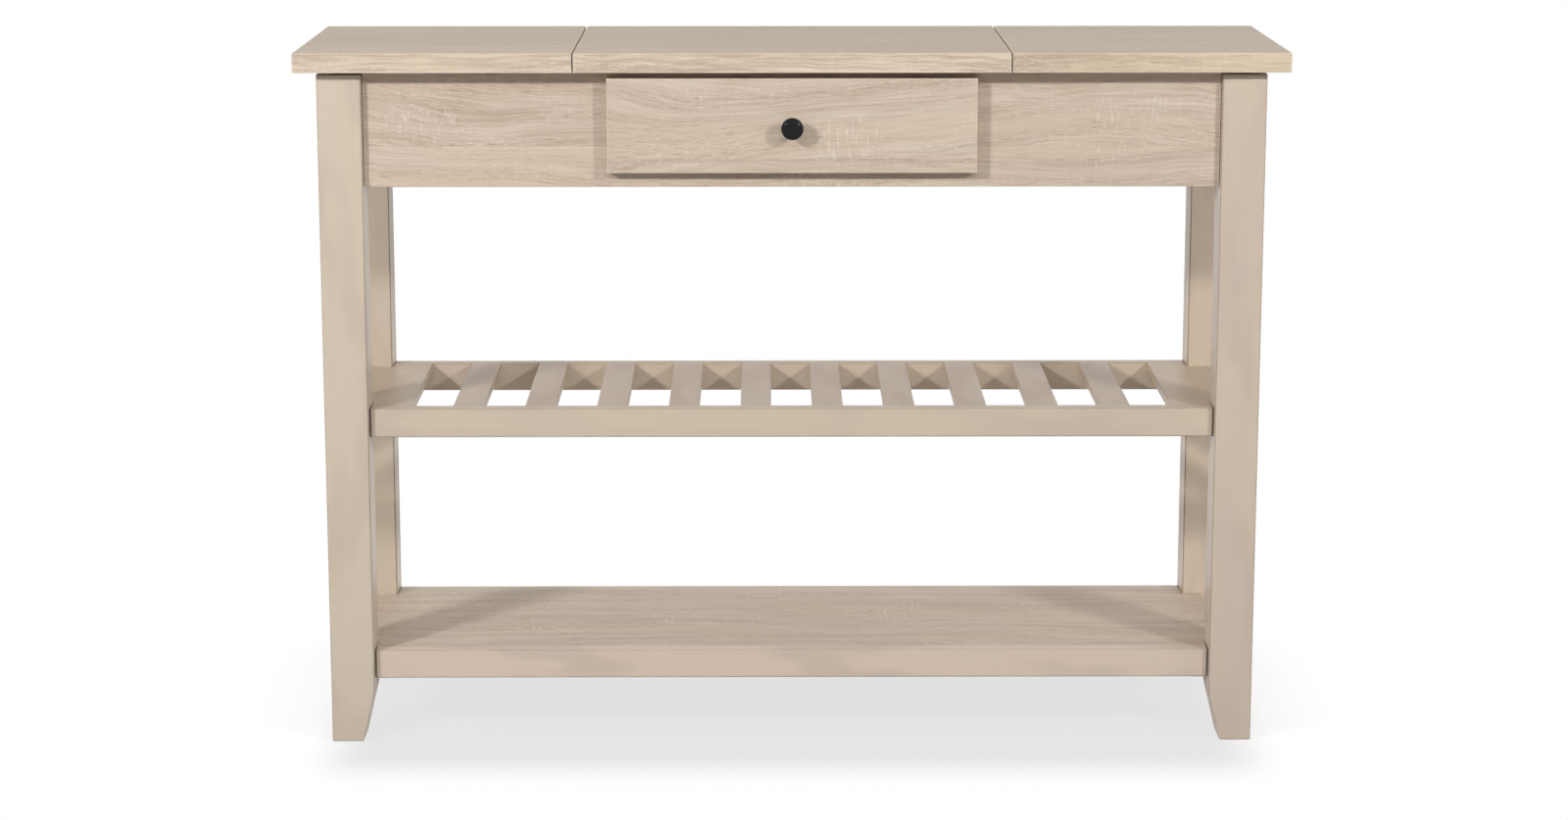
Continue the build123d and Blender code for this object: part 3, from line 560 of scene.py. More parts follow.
# Pressed-fibre sheet: felted brown fibres, smooth and slightly waxy
HARDBOARD_TONES = {"Ground": "#A47B4E", "Shade": "#7C5836"}
HARDBOARD = even_finish("hardboard", FELTED, HARDBOARD_TONES, bump=0.05 * MM, sheen=0.4)


def paint(node, material):
    """Puts a finish on a CAD node."""
    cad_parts[node].material_slots[0].material = material


# Pieces made here


def new_piece(name, mesh, material, slot, body, *nodes):
    """Puts a finished mesh in the scene in place of the nodes that it stands for."""
    piece = bpy.data.objects.new(name, mesh)
    bpy.context.scene.collection.objects.link(piece)
    mesh.materials.clear()
    mesh.materials.append(material)
    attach(piece, body)
    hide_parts(*nodes)


# Points nearer than this are one point, and a point this near to a solid's end lies in it
SAME_POINT, AT_END = 1e-6, 0.05 * MM


def islands(node):
    """Each solid of a CAD node, as its list of corner points."""
    shape = bmesh.new()
    shape.from_mesh(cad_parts[node].data)
    bmesh.ops.remove_doubles(shape, verts=shape.verts, dist=SAME_POINT)
    left, found = set(shape.verts), []
    while left:
        group, reach = [], [left.pop()]
        while reach:
            here = reach.pop()
            group.append(here.co.copy())
            for edge in here.link_edges:
                there = edge.other_vert(here)
                if there in left:
                    left.remove(there)
                    reach.append(there)
        found.append(group)
    shape.free()
    return sorted(found, key=lambda g: tuple(round(min(p[i] for p in g), 4) for i in range(3)))


def middle_of(points):
    """Mean of some points."""
    return sum(points, Vector()) / len(points)


def box_of(points):
    """Low and high corner of the box round some points."""
    return [Vector([pick(p[i] for p in points) for i in range(3)]) for pick in (min, max)]


class GeometryBench(GroupBench):
    """Lays out a Geometry Nodes tree that has named sizes and ends in one material."""

    def __init__(self, name, **inputs):
        shape = ["Geometry"]
        inputs = {"Geometry": shape, "Material": ["Material"], **inputs}
        super().__init__(name, {"Geometry": shape}, "GeometryNodeTree", **inputs)

    def negative(self, value):
        return self.times(value, -1.0)

    def line(self, start, end):
        return self.node("GeometryNodeCurvePrimitiveLine", {"Start": start, "End": end}).outputs[0]

    def circle(self, sides):
        """Circle of radius 1, to be scaled by a sweep."""
        inputs = {"Resolution": sides, "Radius": 1.0}
        return self.node("GeometryNodeCurvePrimitiveCircle", inputs).outputs[0]

    def star(self, points, inner, outer):
        inputs = {"Points": points, "Inner Radius": inner, "Outer Radius": outer}
        return self.node("GeometryNodeCurveStar", inputs).outputs[0]

    def sweep(self, rail, profile, scale=1.0):
        """Solid bar of that profile along the rail; scale may be a field over the rail."""
        inputs = {"Curve": rail, "Profile Curve": profile, "Scale": scale, "Fill Caps": True}
        return self.node("GeometryNodeCurveToMesh", inputs).outputs[0]

    def union(self, *parts):
        made = self.node("GeometryNodeMeshBoolean", operation="UNION", solver="EXACT")
        for part in reversed(parts):
            self.feed(made.inputs[1], part)
        return made.outputs[0]

    def finish(self, points, shape, **turn):
        """Closes the tree with the shape on every point, as one mesh with its material."""
        inputs = {"Points": points, "Instance": shape, **turn}
        copies = self.node("GeometryNodeInstanceOnPoints", inputs).outputs[0]
        real = self.node("GeometryNodeRealizeInstances", {0: copies}).outputs[0]
        inputs = {"Geometry": real, "Material": self["Material"]}
        painted = self.node("GeometryNodeSetMaterial", inputs).outputs[0]
        return self.result(Geometry=painted)


def grown(tree, mesh, sizes, name):
    """Runs a Geometry Nodes tree on a mesh and returns the result as a plain mesh."""
    seed = bpy.data.objects.new(name + " seed", mesh)
    bpy.context.scene.collection.objects.link(seed)
    modifier = seed.modifiers.new("nodes", "NODES")
    modifier.node_group = tree
    sockets = {s.name: s.identifier for s in tree.interface.items_tree if s.in_out == "INPUT"}
    for label, value in sizes.items():
        modifier[sockets[label]] = value
    seed.update_tag()
    graph = bpy.context.evaluated_depsgraph_get()
    made = bpy.data.meshes.new_from_object(seed.evaluated_get(graph), depsgraph=graph)
    seed.modifiers.clear()
    bpy.data.objects.remove(seed)
    made.name = name
    return made


# Slats of the bottle shelf, and the tenon on each end. A tenon is eased by a share of the arris.
SLAT_ARRIS, ARRIS_STEPS = 1.5 * MM, 3
TENON_LENGTH, TENON_WIDTH, TENON_THICKNESS = 8 * MM, 28 * MM, 6 * MM
TENON_EASING = 0.6


def slat_tree():
    """Row of slats with eased arrises and a tenon on each end, lying along Y."""
    sizes = ["Pitch", "Width", "Thickness", "Length", "Arris"]
    sizes += ["Tenon Width", "Tenon Thickness", "Tenon Length"]
    b = GeometryBench("slat row", Float=sizes, Int=["Count"], Vector=["First"])

    def bar(width, thickness, arris, length):
        """Bar along Y about the origin, with eased long edges."""
        sides = {"Width": width, "Height": thickness}
        outline = b.node("GeometryNodeCurvePrimitiveQuadrilateral", sides).outputs[0]
        inputs = {"Curve": outline, "Radius": arris, "Limit Radius": True, "Count": ARRIS_STEPS}
        eased = b.node("GeometryNodeFilletCurve", inputs, mode="POLY").outputs[0]
        half = b.times(length, 0.5)
        return b.sweep(b.line(b.join(y=b.negative(half)), b.join(y=half)), eased)

    body = bar(b["Width"], b["Thickness"], b["Arris"], b["Length"])
    whole = b.scaled(b["Tenon Length"], 2.0, b["Length"])
    easing = b.times(b["Arris"], TENON_EASING)
    tenon = bar(b["Tenon Width"], b["Tenon Thickness"], easing, whole)
    inputs = {"Count": b["Count"], "Start Location": b["First"]}
    inputs["Offset"] = b.join(x=b["Pitch"])
    row = b.node("GeometryNodeMeshLine", inputs).outputs[0]
    return b.finish(row, b.union(body, tenon))


def make_slats():
    """Slats of the bottle shelf, as one row in the places of the CAD slats."""
    boxes = sorted(map(box_of, islands("bottle_slats")), key=lambda box: box[0].x)
    low, high = boxes[0]
    width, whole, thickness = high - low
    colours = {"Ground": "#BFAB97", "Warm": "#C3AF97", "Cool": "#B9A392"}
    material = beige_lacquer("bottle_slats", Y, (7.7, 0.6), **colours)
    sizes = {
        "Count": len(boxes),
        "Pitch": (boxes[-1][0].x - low.x) / (len(boxes) - 1),
        "Width": width,
        "Thickness": thickness,
        "Length": whole - 2 * TENON_LENGTH,
        "Arris": SLAT_ARRIS,
        "Tenon Width": TENON_WIDTH,
        "Tenon Thickness": TENON_THICKNESS,
        "Tenon Length": TENON_LENGTH,
        "First": (low + high) / 2,
        "Material": material,
    }
    mesh = grown(slat_tree(), bpy.data.meshes.new("seed"), sizes, "slats")
    new_piece("slats", mesh, material, "beige_finish", "frame", "bottle_slats")


# Fixings: the most that one is spun at random, in radians, and the facets of a screw
SPIN = 6.28
HEAD_RINGS, HEAD_SIDES, SHANK_SIDES = 6, 16, 10

# Shares: how far a screw's shank goes up into its head, its radius at the tip and how fast that
# grows to the full one, and the waist of the recess's cross, which is cut from above the head
SHANK_IN_HEAD = 0.3
TIP_SHARE, TIP_GROWTH = 0.12, 7.0
CROSS_ARMS, CROSS_WAIST, CUT_ABOVE = 4, 0.32, MM

# Share of its radius that a pin has at its very ends
PIN_END_SHARE = 0.8


class FixingBench(GeometryBench):
    """Tree that grows one fixing on every point of a mesh, along the point's out vector."""

    def bar(self, start, end, count, radius, profile):
        """Bar on Z from start to end, with the radius field taken at count points."""
        ends = self.line(self.join(z=start), self.join(z=end))
        rail = self.node("GeometryNodeResampleCurve", {"Curve": ends, "Count": count})
        return self.sweep(rail.outputs[0], profile, radius)

    def threaded(self, radius):
        """The radius field with a valley at every second point."""
        index = self.node("GeometryNodeInputIndex").outputs[0]
        valley = self.times(self.math("MODULO", index, 2.0), self["Thread Depth"])
        return self.times(radius, self.minus(1.0, valley))

    def thread_points(self):
        """Count of points that gives each turn of the thread a crest and a valley."""
        turns = self.math("DIVIDE", self["Length"], self["Thread Pitch"])
        return self.scaled(self.math("ROUND", turns), 2.0, 1.0)

    def planted(self, shape):
        """The shape on every point, its Z turned to the point's out vector and spun at random."""
        named = {"Name": "out"}
        out = self.node("GeometryNodeInputNamedAttribute", named, data_type="FLOAT_VECTOR")
        turn = self.node("FunctionNodeAlignRotationToVector", {"Vector": out.outputs[0]}, axis="Z")
        limits = {2: 0.0, 3: SPIN, "Seed": self["Seed"]}
        spin = self.node("FunctionNodeRandomValue", limits).outputs[1]
        about = self.node("FunctionNodeAxisAngleToRotation", {"Axis": Z, "Angle": spin})
        inputs = {"Rotation": turn.outputs[0], "Rotate By": about.outputs[0]}
        both = self.node("FunctionNodeRotateRotation", inputs, rotation_space="LOCAL")
        return self.finish(self["Geometry"], shape, Rotation=both.outputs[0])


def screw_tree():
    """Cross-recess screw, its head towards +Z and its seat at Z = 0."""
    sizes = ["Head Low", "Head High", "Base Radius", "Crown Radius", "Roundness"]
    sizes += ["Recess Radius", "Recess Depth", "Shank Radius"]
    sizes += ["Thread Depth", "Thread Pitch", "Length"]
    b = FixingBench("crosshead screw", Float=sizes, Int=["Seed"])
    way = b.node("GeometryNodeSplineParameter").outputs["Factor"]
    swell = b.minus(b["Crown Radius"], b["Base Radius"])
    swell = b.times(swell, b.math("POWER", way, b["Roundness"]))
    radius = b.plus(b["Base Radius"], swell)
    head = b.bar(b["Head Low"], b["Head High"], HEAD_RINGS, radius, b.circle(HEAD_SIDES))

    point = b.math("MINIMUM", b.scaled(way, TIP_GROWTH, TIP_SHARE), 1.0)
    radius = b.threaded(b.times(b["Shank Radius"], point))
    height = b.minus(b["Head High"], b["Head Low"])
    top = b.scaled(height, SHANK_IN_HEAD, b["Head Low"])
    tip = b.negative(b["Length"])
    shank = b.bar(tip, top, b.thread_points(), radius, b.circle(SHANK_SIDES))

    waist = b.times(b["Recess Radius"], CROSS_WAIST)
    cross = b.star(CROSS_ARMS, waist, b["Recess Radius"])
    bottom = b.minus(b["Head High"], b["Recess Depth"])
    above = b.plus(b["Head High"], CUT_ABOVE)
    hole = b.sweep(b.line(b.join(z=bottom), b.join(z=above)), cross)
    solids = {0: b.union(head, shank), 1: hole}
    cut = b.node("GeometryNodeMeshBoolean", solids, operation="DIFFERENCE", solver="EXACT")
    return b.planted(cut.outputs[0])


def pin_tree():
    """Pin about the origin with eased ends: a fluted dowel or a threaded bolt."""
    sizes = ["Radius", "Length", "Flute Depth", "Thread Depth", "Thread Pitch", "Chamfer"]
    b = FixingBench("fluted or threaded pin", Float=sizes, Int=["Seed", "Flutes"])
    way = b.node("GeometryNodeSplineParameter").outputs["Length"]
    near_end = b.math("MINIMUM", way, b.minus(b["Length"], way))
    eased = b.at_least(PIN_END_SHARE, b.math("DIVIDE", near_end, b["Chamfer"]))
    radius = b.threaded(b.times(b["Radius"], b.math("MINIMUM", eased, 1.0)))
    half = b.times(b["Length"], 0.5)
    fluted = b.star(b["Flutes"], b.minus(1.0, b["Flute Depth"]), 1.0)
    return b.planted(b.bar(b.negative(half), half, b.thread_points(), radius, fluted))


SCREW_TREE, PIN_TREE = screw_tree(), pin_tree()


def points_mesh(name, places, outs):
    """Mesh of bare points, each with the out vector that its fixing follows."""
    mesh = bpy.data.meshes.new(name)
    mesh.from_pydata([tuple(p) for p in places], [], [])
    out = mesh.attributes.new("out", "FLOAT_VECTOR", "POINT")
    for entry, value in zip(out.data, outs):
        entry.vector = value
    return mesh


# Screws. Crown and recess are shares of the head's width, the thread's depth one of the radius.
SCREW_HEAD, SCREW_HEIGHT, SCREW_SHANK = 7 * MM, 2 * MM, 3.5 * MM
PAN_CROWN, PAN_ROUNDNESS = 0.29, 3.5
RECESS_SHARE, RECESS_DEPTH = 0.27, 1.3 * MM
SCREW_THREAD_DEPTH = 0.2

# Shank radius and thread pitch of a wood screw, and of the machine screw that holds the knob
WOOD_SCREW, MACHINE_SCREW = (SCREW_SHANK / 2, 1.4 * MM), (2 * MM, 0.7 * MM)

SCREWS = {
    "frame_screws": ("pan", "frame"),
    "batten_screws": ("pan", "frame"),
    "cabinet_runner_screws": ("flat", "frame"),
    "drawer_runner_screws": ("pan", "drawer"),
    "drawer_box_screws": ("flat", "drawer"),
    "drawer_front_screws": ("pan", "drawer"),
    "knob_screw": ("pan", "drawer"),
}


def screw_seats(node):
    """Place of each screw's head end, the way it faces, and the screw's whole length."""
    places, outs, whole = [], [], 0.0
    for solid in islands(node):
        low, high = box_of(solid)
        size, middle = high - low, (low + high) / 2
        axis = max(range(3), key=lambda i: abs(size[i] - SCREW_HEAD))
        spreads = []
        for side in (low, high):
            near = [p for p in solid if abs(p[axis] - side[axis]) < AT_END]
            spread = max(abs(p[i] - middle[i]) for p in near for i in range(3) if i != axis)
            spreads.append(spread)
        out = Vector((0, 0, 0))
        out[axis] = 1.0 if spreads[1] > spreads[0] else -1.0
        place = middle.copy()
        place[axis] = (high if out[axis] > 0 else low)[axis]
        places.append(place)
        outs.append(out)
        whole = size[axis]
    return places, outs, whole


def make_screws(node, kind, body):
    """Cross-recess screws on the places of one screw node."""
    places, outs, whole = screw_seats(node)
    pan = kind == "pan"
    if pan:
        places = [p - out * SCREW_HEIGHT for p, out in zip(places, outs)]
    shank_radius, pitch = MACHINE_SCREW if node == "knob_screw" else WOOD_SCREW
    sizes = {
        "Head Low": 0.0 if pan else (SCREW_SHANK - SCREW_HEAD) / 2,
        "Head High": SCREW_HEIGHT if pan else 0.0,
        "Base Radius": SCREW_HEAD / 2 if pan else SCREW_SHANK / 2,
        "Crown Radius": SCREW_HEAD * PAN_CROWN if pan else SCREW_HEAD / 2,
        "Roundness": PAN_ROUNDNESS if pan else 1.0,
        "Recess Radius": SCREW_HEAD * RECESS_SHARE,
        "Recess Depth": RECESS_DEPTH,
        "Shank Radius": shank_radius,
        "Thread Depth": SCREW_THREAD_DEPTH,
        "Thread Pitch": pitch,
        "Length": whole - (SCREW_HEIGHT if pan else 0.0),
        "Seed": len(node),
        "Material": ZINC,
    }
    mesh = grown(SCREW_TREE, points_mesh(node, places, outs), sizes, node)
    new_piece(node + "_made", mesh, ZINC, "zinc_steel", body, node)


# From a pin's furthest point, the points of its own end lie within the first reach, and those
# of the other end beyond the second
PIN_END_REACH, PIN_FAR_REACH = 9 * MM, 15 * MM
PIN_CHAMFER = 1.5 * MM


def make_pins(node, seed, flutes, flute_depth, thread_depth, pitch, material, slot):
    """Dowels or hanger bolts on the places of one node."""
    places, outs = [], []
    for solid in islands(node):
        middle = middle_of(solid)
        far = max(solid, key=lambda p: (round((p - middle).length, 6), p.x, p.y, p.z))
        end = [p for p in solid if (p - far).length < PIN_END_REACH]
        other = [p for p in solid if (p - far).length > PIN_FAR_REACH]
        way = middle_of(end) - middle_of(other)
        places.append((middle_of(end) + middle_of(other)) / 2)
        outs.append(way.normalized())
        length = way.length
        radius = max((p - middle_of(end)).length for p in end)
    sizes = {"Radius": radius, "Length": length, "Flutes": flutes, "Flute Depth": flute_depth}
    sizes.update({"Thread Depth": thread_depth, "Thread Pitch": pitch, "Chamfer": PIN_CHAMFER})
    sizes.update({"Seed": seed, "Material": material})
    mesh = grown(PIN_TREE, points_mesh(node, places, outs), sizes, node)
    new_piece(node + "_made", mesh, material, slot, "frame", node)


def arc(centre, radius, start, end, steps):
    """Points on an arc in a turning profile, angles in degrees from the radius axis."""
    angles = [math.radians(start + (end - start) * i / steps) for i in range(steps + 1)]
    return [(centre[0] + radius * math.cos(a), centre[1] + radius * math.sin(a)) for a in angles]


def turned(profile, origin, axis, sides, closed=False, shape=None):
    """Turns a profile of (radius, height) in millimetres about an axis through origin."""
    shape = shape or bmesh.new()
    axis = Vector(axis).normalized()
    across = axis.orthogonal().normalized()
    third = axis.cross(across)
    turns = [2 * math.pi * i / sides for i in range(sides)]
    spokes = [across * math.cos(turn) + third * math.sin(turn) for turn in turns]
    rings = []
    for radius, height in profile:
        centre = Vector(origin) + axis * height * MM
        if radius == 0:
            rings.append([shape.verts.new(centre)])
        else:
            rings.append([shape.verts.new(centre + spoke * radius * MM) for spoke in spokes])
    pairs = list(zip(rings, rings[1:])) + ([(rings[-1], rings[0])] if closed else [])
    for low, high in pairs:
        for i in range(sides):
            j = (i + 1) % sides
            places = ((low, i), (low, j), (high, j), (high, i))
            corners = [ring[k % len(ring)] for ring, k in places]
            unique = list(dict.fromkeys(corners))
            if len(unique) > 2:
                shape.faces.new(unique)
    return shape


def solid_mesh(shape, name, sharp=35):
    """Mesh of a turned shape: outward faces, smooth but for corners over that many degrees."""
    bmesh.ops.recalc_face_normals(shape, faces=shape.faces)
    mesh = bpy.data.meshes.new(name)
    shape.to_mesh(mesh)
    shape.free()
    mesh.polygons.foreach_set("use_smooth", [True] * len(mesh.polygons))
    mesh.set_sharp_from_angle(angle=math.radians(sharp))
    return mesh


# Turning profiles, as (radius, height) in millimetres from the face that each piece sits on

KNOB_FOOT = [(0, 0), (7.7, 0), (8, 0.3), (8, 1.7), (7.8, 2.1), (7.0, 2.9), (6.2, 3.6)]
KNOB_NECK = [(5.7, 4.1), (5.5, 4.8), (5.5, 8)] + arc((13.0, 11.0), 7.5, 180, 92, 14)
KNOB_RIM = arc((12.99, 19.95), 1.26, -74, 74, 9) + [(13.1, 21.47)]
KNOB_DOME = arc((0, -1.37), 26.37, 60.5, 90, 12)[:-1] + [(0, 25)]

WHEEL_WIDTH = 8
WHEEL_SIDE = [(2.55, 0.3), (2.75, 0), (3.6, 0), (3.9, 0.7), (6.2, 0.7), (6.5, 0), (7.5, 0)]
WHEEL_SIDE += [(7.85, 0.15), (8, 0.5)]

BUMPER = [(0, 0), (4, 0), (4, 0.5)] + arc((0, -3.42), 5.42, 48, 90, 6)[:-1] + [(0, 2)]
FOOT_GLIDE = [(0, 0), (9.6, 0), (10.6, 0.25), (11, 0.7), (11, 1.5), (1.25, 1.5), (1.25, 13.5)]
FOOT_GLIDE += [(0.3, 16), (0, 16)]
RIVET = [(0, 0), (2.5, 0), (2.5, 10.7), (4, 10.7), (3.9, 11.1), (3.1, 11.45), (1.6, 11.6)]
RIVET += [(0, 11.6)]

# A rivet's end is its head when it reaches further from the middle than this
RIVET_HEAD_REACH = 3 * MM

# Facets round each kind of turned piece
KNOB_FACETS, WHEEL_FACETS, FITTING_FACETS = 72, 48, 32

FITTINGS = {
    "drawer_bumpers": (BUMPER, RUBBER, "bumper_rubber", "drawer"),
    "foot_glides": (FOOT_GLIDE, GLIDE, "glide_plastic", "frame"),
    "cabinet_roller_rivets": (RIVET, ZINC, "zinc_steel", "frame"),
    "drawer_roller_rivets": (RIVET, ZINC, "zinc_steel", "drawer"),
}


def make_knob():
    """Mushroom knob: foot, waisted neck, rolled rim and shallow dome."""
    low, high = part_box("knob")
    middle = (low + high) / 2
    profile = KNOB_FOOT + KNOB_NECK + KNOB_RIM + KNOB_DOME
    shape = turned(profile, (middle.x, high.y, middle.z), (0, -1, 0), KNOB_FACETS)
    mesh = solid_mesh(shape, "turned knob", sharp=50)
    new_piece("turned_knob", mesh, BLACK, "black_finish", "drawer", "knob")


def make_wheels():
    """Nylon wheels with a hub, a recessed web and an eased tread."""
    other_side = [(radius, WHEEL_WIDTH - height) for radius, height in reversed(WHEEL_SIDE)]
    for side in ("left", "right"):
        for member in ("cabinet", "drawer"):
            node = f"{side}_{member}_roller"
            low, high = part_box(node)
            origin = (low.x, (low.y + high.y) / 2, (low.z + high.z) / 2)
            shape = turned(WHEEL_SIDE + other_side, origin, X, WHEEL_FACETS, closed=True)
            name, body = f"{side}_{member}_nylon_wheel", f"{side}_{member}_wheel"
            new_piece(name, solid_mesh(shape, node), NYLON, "nylon", body, node)


def fitting_seat(node, solid):
    """Where the turning axis of one bumper, glide or rivet starts, and the way it goes."""
    low, high = box_of(solid)
    middle = (low + high) / 2
    if node == "drawer_bumpers":
        return (middle.x, low.y, middle.z), Y
    if node == "foot_glides":
        return (middle.x, middle.y, low.z), Z
    end = [p for p in solid if abs(p.x - low.x) < AT_END]
    if max(abs(p.z - middle.z) for p in end) > RIVET_HEAD_REACH:
        return (high.x, middle.y, middle.z), (-1, 0, 0)
    return (low.x, middle.y, middle.z), X


def make_fittings():
    """Domed bumpers, nail glides and roller rivets."""
    for node, (profile, material, slot, body) in FITTINGS.items():
        shape = bmesh.new()
        for solid in islands(node):
            origin, axis = fitting_seat(node, solid)
            turned(profile, origin, axis, FITTING_FACETS, shape=shape)
        new_piece(node + "_made", solid_mesh(shape, node), material, slot, body, node)


# Boards, legs and rails

# A pair such as (0.7, 0.19) is where a piece is cut from its sheet of grain, along and across,
# so that no two pieces look alike.

TOP_PANEL = {"Deep": "#BFAB96", "Pale": "#D7C8B5", "Streaks": 0.22, "Pores": 0.2}
EDGE_BAND = {
    "Stave Width": 9.0, "Waviness": 0.012, "Streaks": 0.9, "Pores": 0.45,
    "Flecks": 0.5, "Saw Marks": 0.0, "Warm": "#D6C5A8",
}

# The deep and the pale streaks of the three boards' edge bands
BAND_TONES = {
    "left": ("#BAA693", "#D8C7B1"),
    "centre": ("#C0AC9A", "#DFCEB7"),
    "right": ("#BAA693", "#D8C5AE"),
}
# The top panels get a weaker painted highlight along their arrises
for i, (name, (deep, pale)) in enumerate(BAND_TONES.items()):
    panel, bands = f"top_{name}_panel", f"top_{name}_edge_bands"
    paint(panel, oak_foil(panel, X, (1.3 * i, 0.41 + 0.37 * i), edge=0.2, **TOP_PANEL))
    paint(bands, oak_foil(bands, X, (2.1 * i, 0.8 + i), Deep=deep, Pale=pale, **EDGE_BAND))

OAK_BOARDS = {
    "front_apron": (X, (0.7, 0.19)),
    "back_apron": (X, (3.1, 0.52)),
    "left_apron": (Y, (4.7, 0.11)),
    "right_apron": (Y, (6.4, 0.33)),
    "drawer_front": (X, (8.2, 0.77)),
    "lower_shelf_board": (X, (10.4, 0.05)),
}
for name, (grain, shift) in OAK_BOARDS.items():
    paint(name, oak_foil(name, grain, shift))

# Legs, with the strength of the glaze on their arrises
LEGS = {
    "front_left_leg": ((0.3, 0.1), 0.5, "#CDC0AE"),
    "front_right_leg": ((1.7, 0.5), 0.5, "#C9B9AA"),
    "back_left_leg": ((2.9, 0.7), 0.85, "#CEBFAD"),
    "back_right_leg": ((4.2, 0.2), 0.85, "#D4C3B0"),
}
for name, (shift, edge, ground) in LEGS.items():
    paint(name, beige_lacquer(name, Z, shift, edge, Ground=ground))

RAILS = {
    "bottle_shelf_front_rail": {"Ground": "#C9BAA7", "Warm": "#CEBEA8"},
    "bottle_shelf_back_rail": {"Ground": "#C2B29F", "Warm": "#C8B8A2"},
    "lower_shelf_front_rail": {"Ground": "#D4C1B1", "Warm": "#D6C4B2"},
    "lower_shelf_back_rail": {"Ground": "#CABBAA", "Warm": "#CEBFA9"},
}
# Each rail gets painted shade at its ends, where it butts against the legs
for i, (name, colours) in enumerate(RAILS.items()):
    paint(name, beige_lacquer(name, X, (1.1 * i, 0.3 * i), edge=0.35, joint=0.85, **colours))

END_BOARDS = ("shelf_end_rails", "bottle_shelf_left_board", "bottle_shelf_right_board")
END_TONES = {"Ground": "#C6B29B", "Warm": "#CAB69A", "Cool": "#BFAA96"}
for i, name in enumerate(END_BOARDS):
    paint(name, beige_lacquer(name, Y, (5.0 + 0.9 * i, 0.2 * i), **END_TONES))

BARE_BOARDS = {
    "drawer_box_front": X, "drawer_back": X, "drawer_left_side": Y, "drawer_right_side": Y,
    "left_drawer_partition": Y, "right_drawer_partition": Y,
    "left_seam_batten": Y, "right_seam_batten": Y,
}
for i, (name, grain) in enumerate(BARE_BOARDS.items()):
    paint(name, bare_wood(name, grain, (0.9 * i, 0.23 * i)))
paint("drawer_bottom", HARDBOARD)

for name in ("angle_brackets", "corner_braces", "hanger_nuts"):
    paint(name, ZINC)
for side in ("left", "right"):
    for member in ("cabinet", "drawer"):
        paint(f"{side}_{member}_runner", ENAMEL)

make_slats()
for node, (kind, body) in SCREWS.items():
    make_screws(node, kind, body)
make_pins(
    "hanger_bolts", seed=8, flutes=12, flute_depth=0.0, thread_depth=0.14, pitch=1.2 * MM,
    material=ZINC, slot="zinc_steel",
)
make_pins(
    "joint_dowels", seed=40, flutes=14, flute_depth=0.07, thread_depth=0.0, pitch=8 * MM,
    material=bare_wood("joint_dowels", X, (0.2, 0.9)), slot="dowel_wood",
)
make_pins(
    "panel_dowels", seed=18, flutes=12, flute_depth=0.07, thread_depth=0.0, pitch=6 * MM,
    material=bare_wood("panel_dowels", Y, (0.5, 0.4)), slot="dowel_wood",
)
make_knob()
make_wheels()
make_fittings()


# Floor, lights and camera


def grey(level):
    """Neutral colour of that level."""
    return (level, level, level, 1)


FLOOR_REACH = 30.0

# Rectangles on the floor: half sizes in X and Y, then the width of the soft edge in X and Y.
# The first holds a painted shadow of even grey, and shadows show at all only in the second.
PAINTED_SHADOW_PATCH, HELD_SHADE = (0.55, 0.24, 0.10, 0.175), (0.60, 0.22, 0.16, 0.20)

# The floor that the camera sees under the object and round it, and the glow that lifts both.
# Under the object the dark grey and the glow together give the painted shadow.
# The last grey is the floor that sends light back up to the object.
PAINTED_SHADOW_GREY, ROUND_GREY, GLOW = grey(0.07), grey(0.33), 0.735
RETURNED_GREY = grey(0.42)


def make_floor():
    """Pale floor, white round the object, with a painted shadow under it and real shadows near it.
    """
    mesh = bpy.data.meshes.new("floor")
    far = FLOOR_REACH
    corners = [(-far, -far, 0), (far, -far, 0), (far, far, 0), (-far, far, 0)]
    mesh.from_pydata(corners, [], [(0, 1, 2, 3)])
    floor = bpy.data.objects.new("floor", mesh)
    bpy.context.scene.collection.objects.link(floor)
    material, b, place = new_finish("pale floor")
    seen = b.directly_seen()
    x, y, _ = b.split(place["Object"])

    def inside(half_x, half_y, fade_x, fade_y):
        """1 in a rectangle on the floor, 0 beyond its soft edge."""
        out_x = b.math("DIVIDE", b.minus(b.math("ABSOLUTE", x), half_x), fade_x)
        out_y = b.math("DIVIDE", b.minus(b.math("ABSOLUTE", y), half_y), fade_y)
        out = b.join(b.math("MAXIMUM", out_x, 0.0), b.math("MAXIMUM", out_y, 0.0))
        return b.step(b.vector("LENGTH", out), 0.0, 1.0, 1.0, 0.0)

    # Painted shadow: under the object the camera sees a dark grey, lifted to an even grey by the
    # glow
    shade = b.mix(inside(*PAINTED_SHADOW_PATCH), ROUND_GREY, PAINTED_SHADOW_GREY)
    diffuse = b.node("ShaderNodeBsdfDiffuse", {"Color": b.mix(seen, RETURNED_GREY, shade)})
    glow = b.node("ShaderNodeEmission", {"Strength": b.times(seen, GLOW)})
    held = b.node("ShaderNodeAddShader", {0: diffuse.outputs[0], 1: glow.outputs[0]})
    white = b.node("ShaderNodeEmission", {"Strength": 1.0})
    blank = b.times(seen, b.minus(1.0, inside(*HELD_SHADE)))
    result = b.node("ShaderNodeMixShader", {0: blank, 1: held.outputs[0], 2: white.outputs[0]})
    b.node("ShaderNodeOutputMaterial", {"Surface": result.outputs[0]})
    mesh.materials.append(material)


def soft_lamp(name, position, target, size, level, lights=True, mirrored=True):
    """Soft box that gives a face turned to it that level of light."""
    aim = Vector(target) - Vector(position)
    light = bpy.data.lights.new(name, "AREA")
    light.shape = "RECTANGLE"
    light.size, light.size_y = size
    light.energy = level * math.pi ** 2 * aim.length_squared
    lamp = bpy.data.objects.new(name, light)
    lamp.location = position
    lamp.rotation_euler = aim.to_track_quat("-Z", "Y").to_euler()
    lamp.visible_diffuse, lamp.visible_glossy = lights, mirrored
    bpy.context.scene.collection.objects.link(lamp)


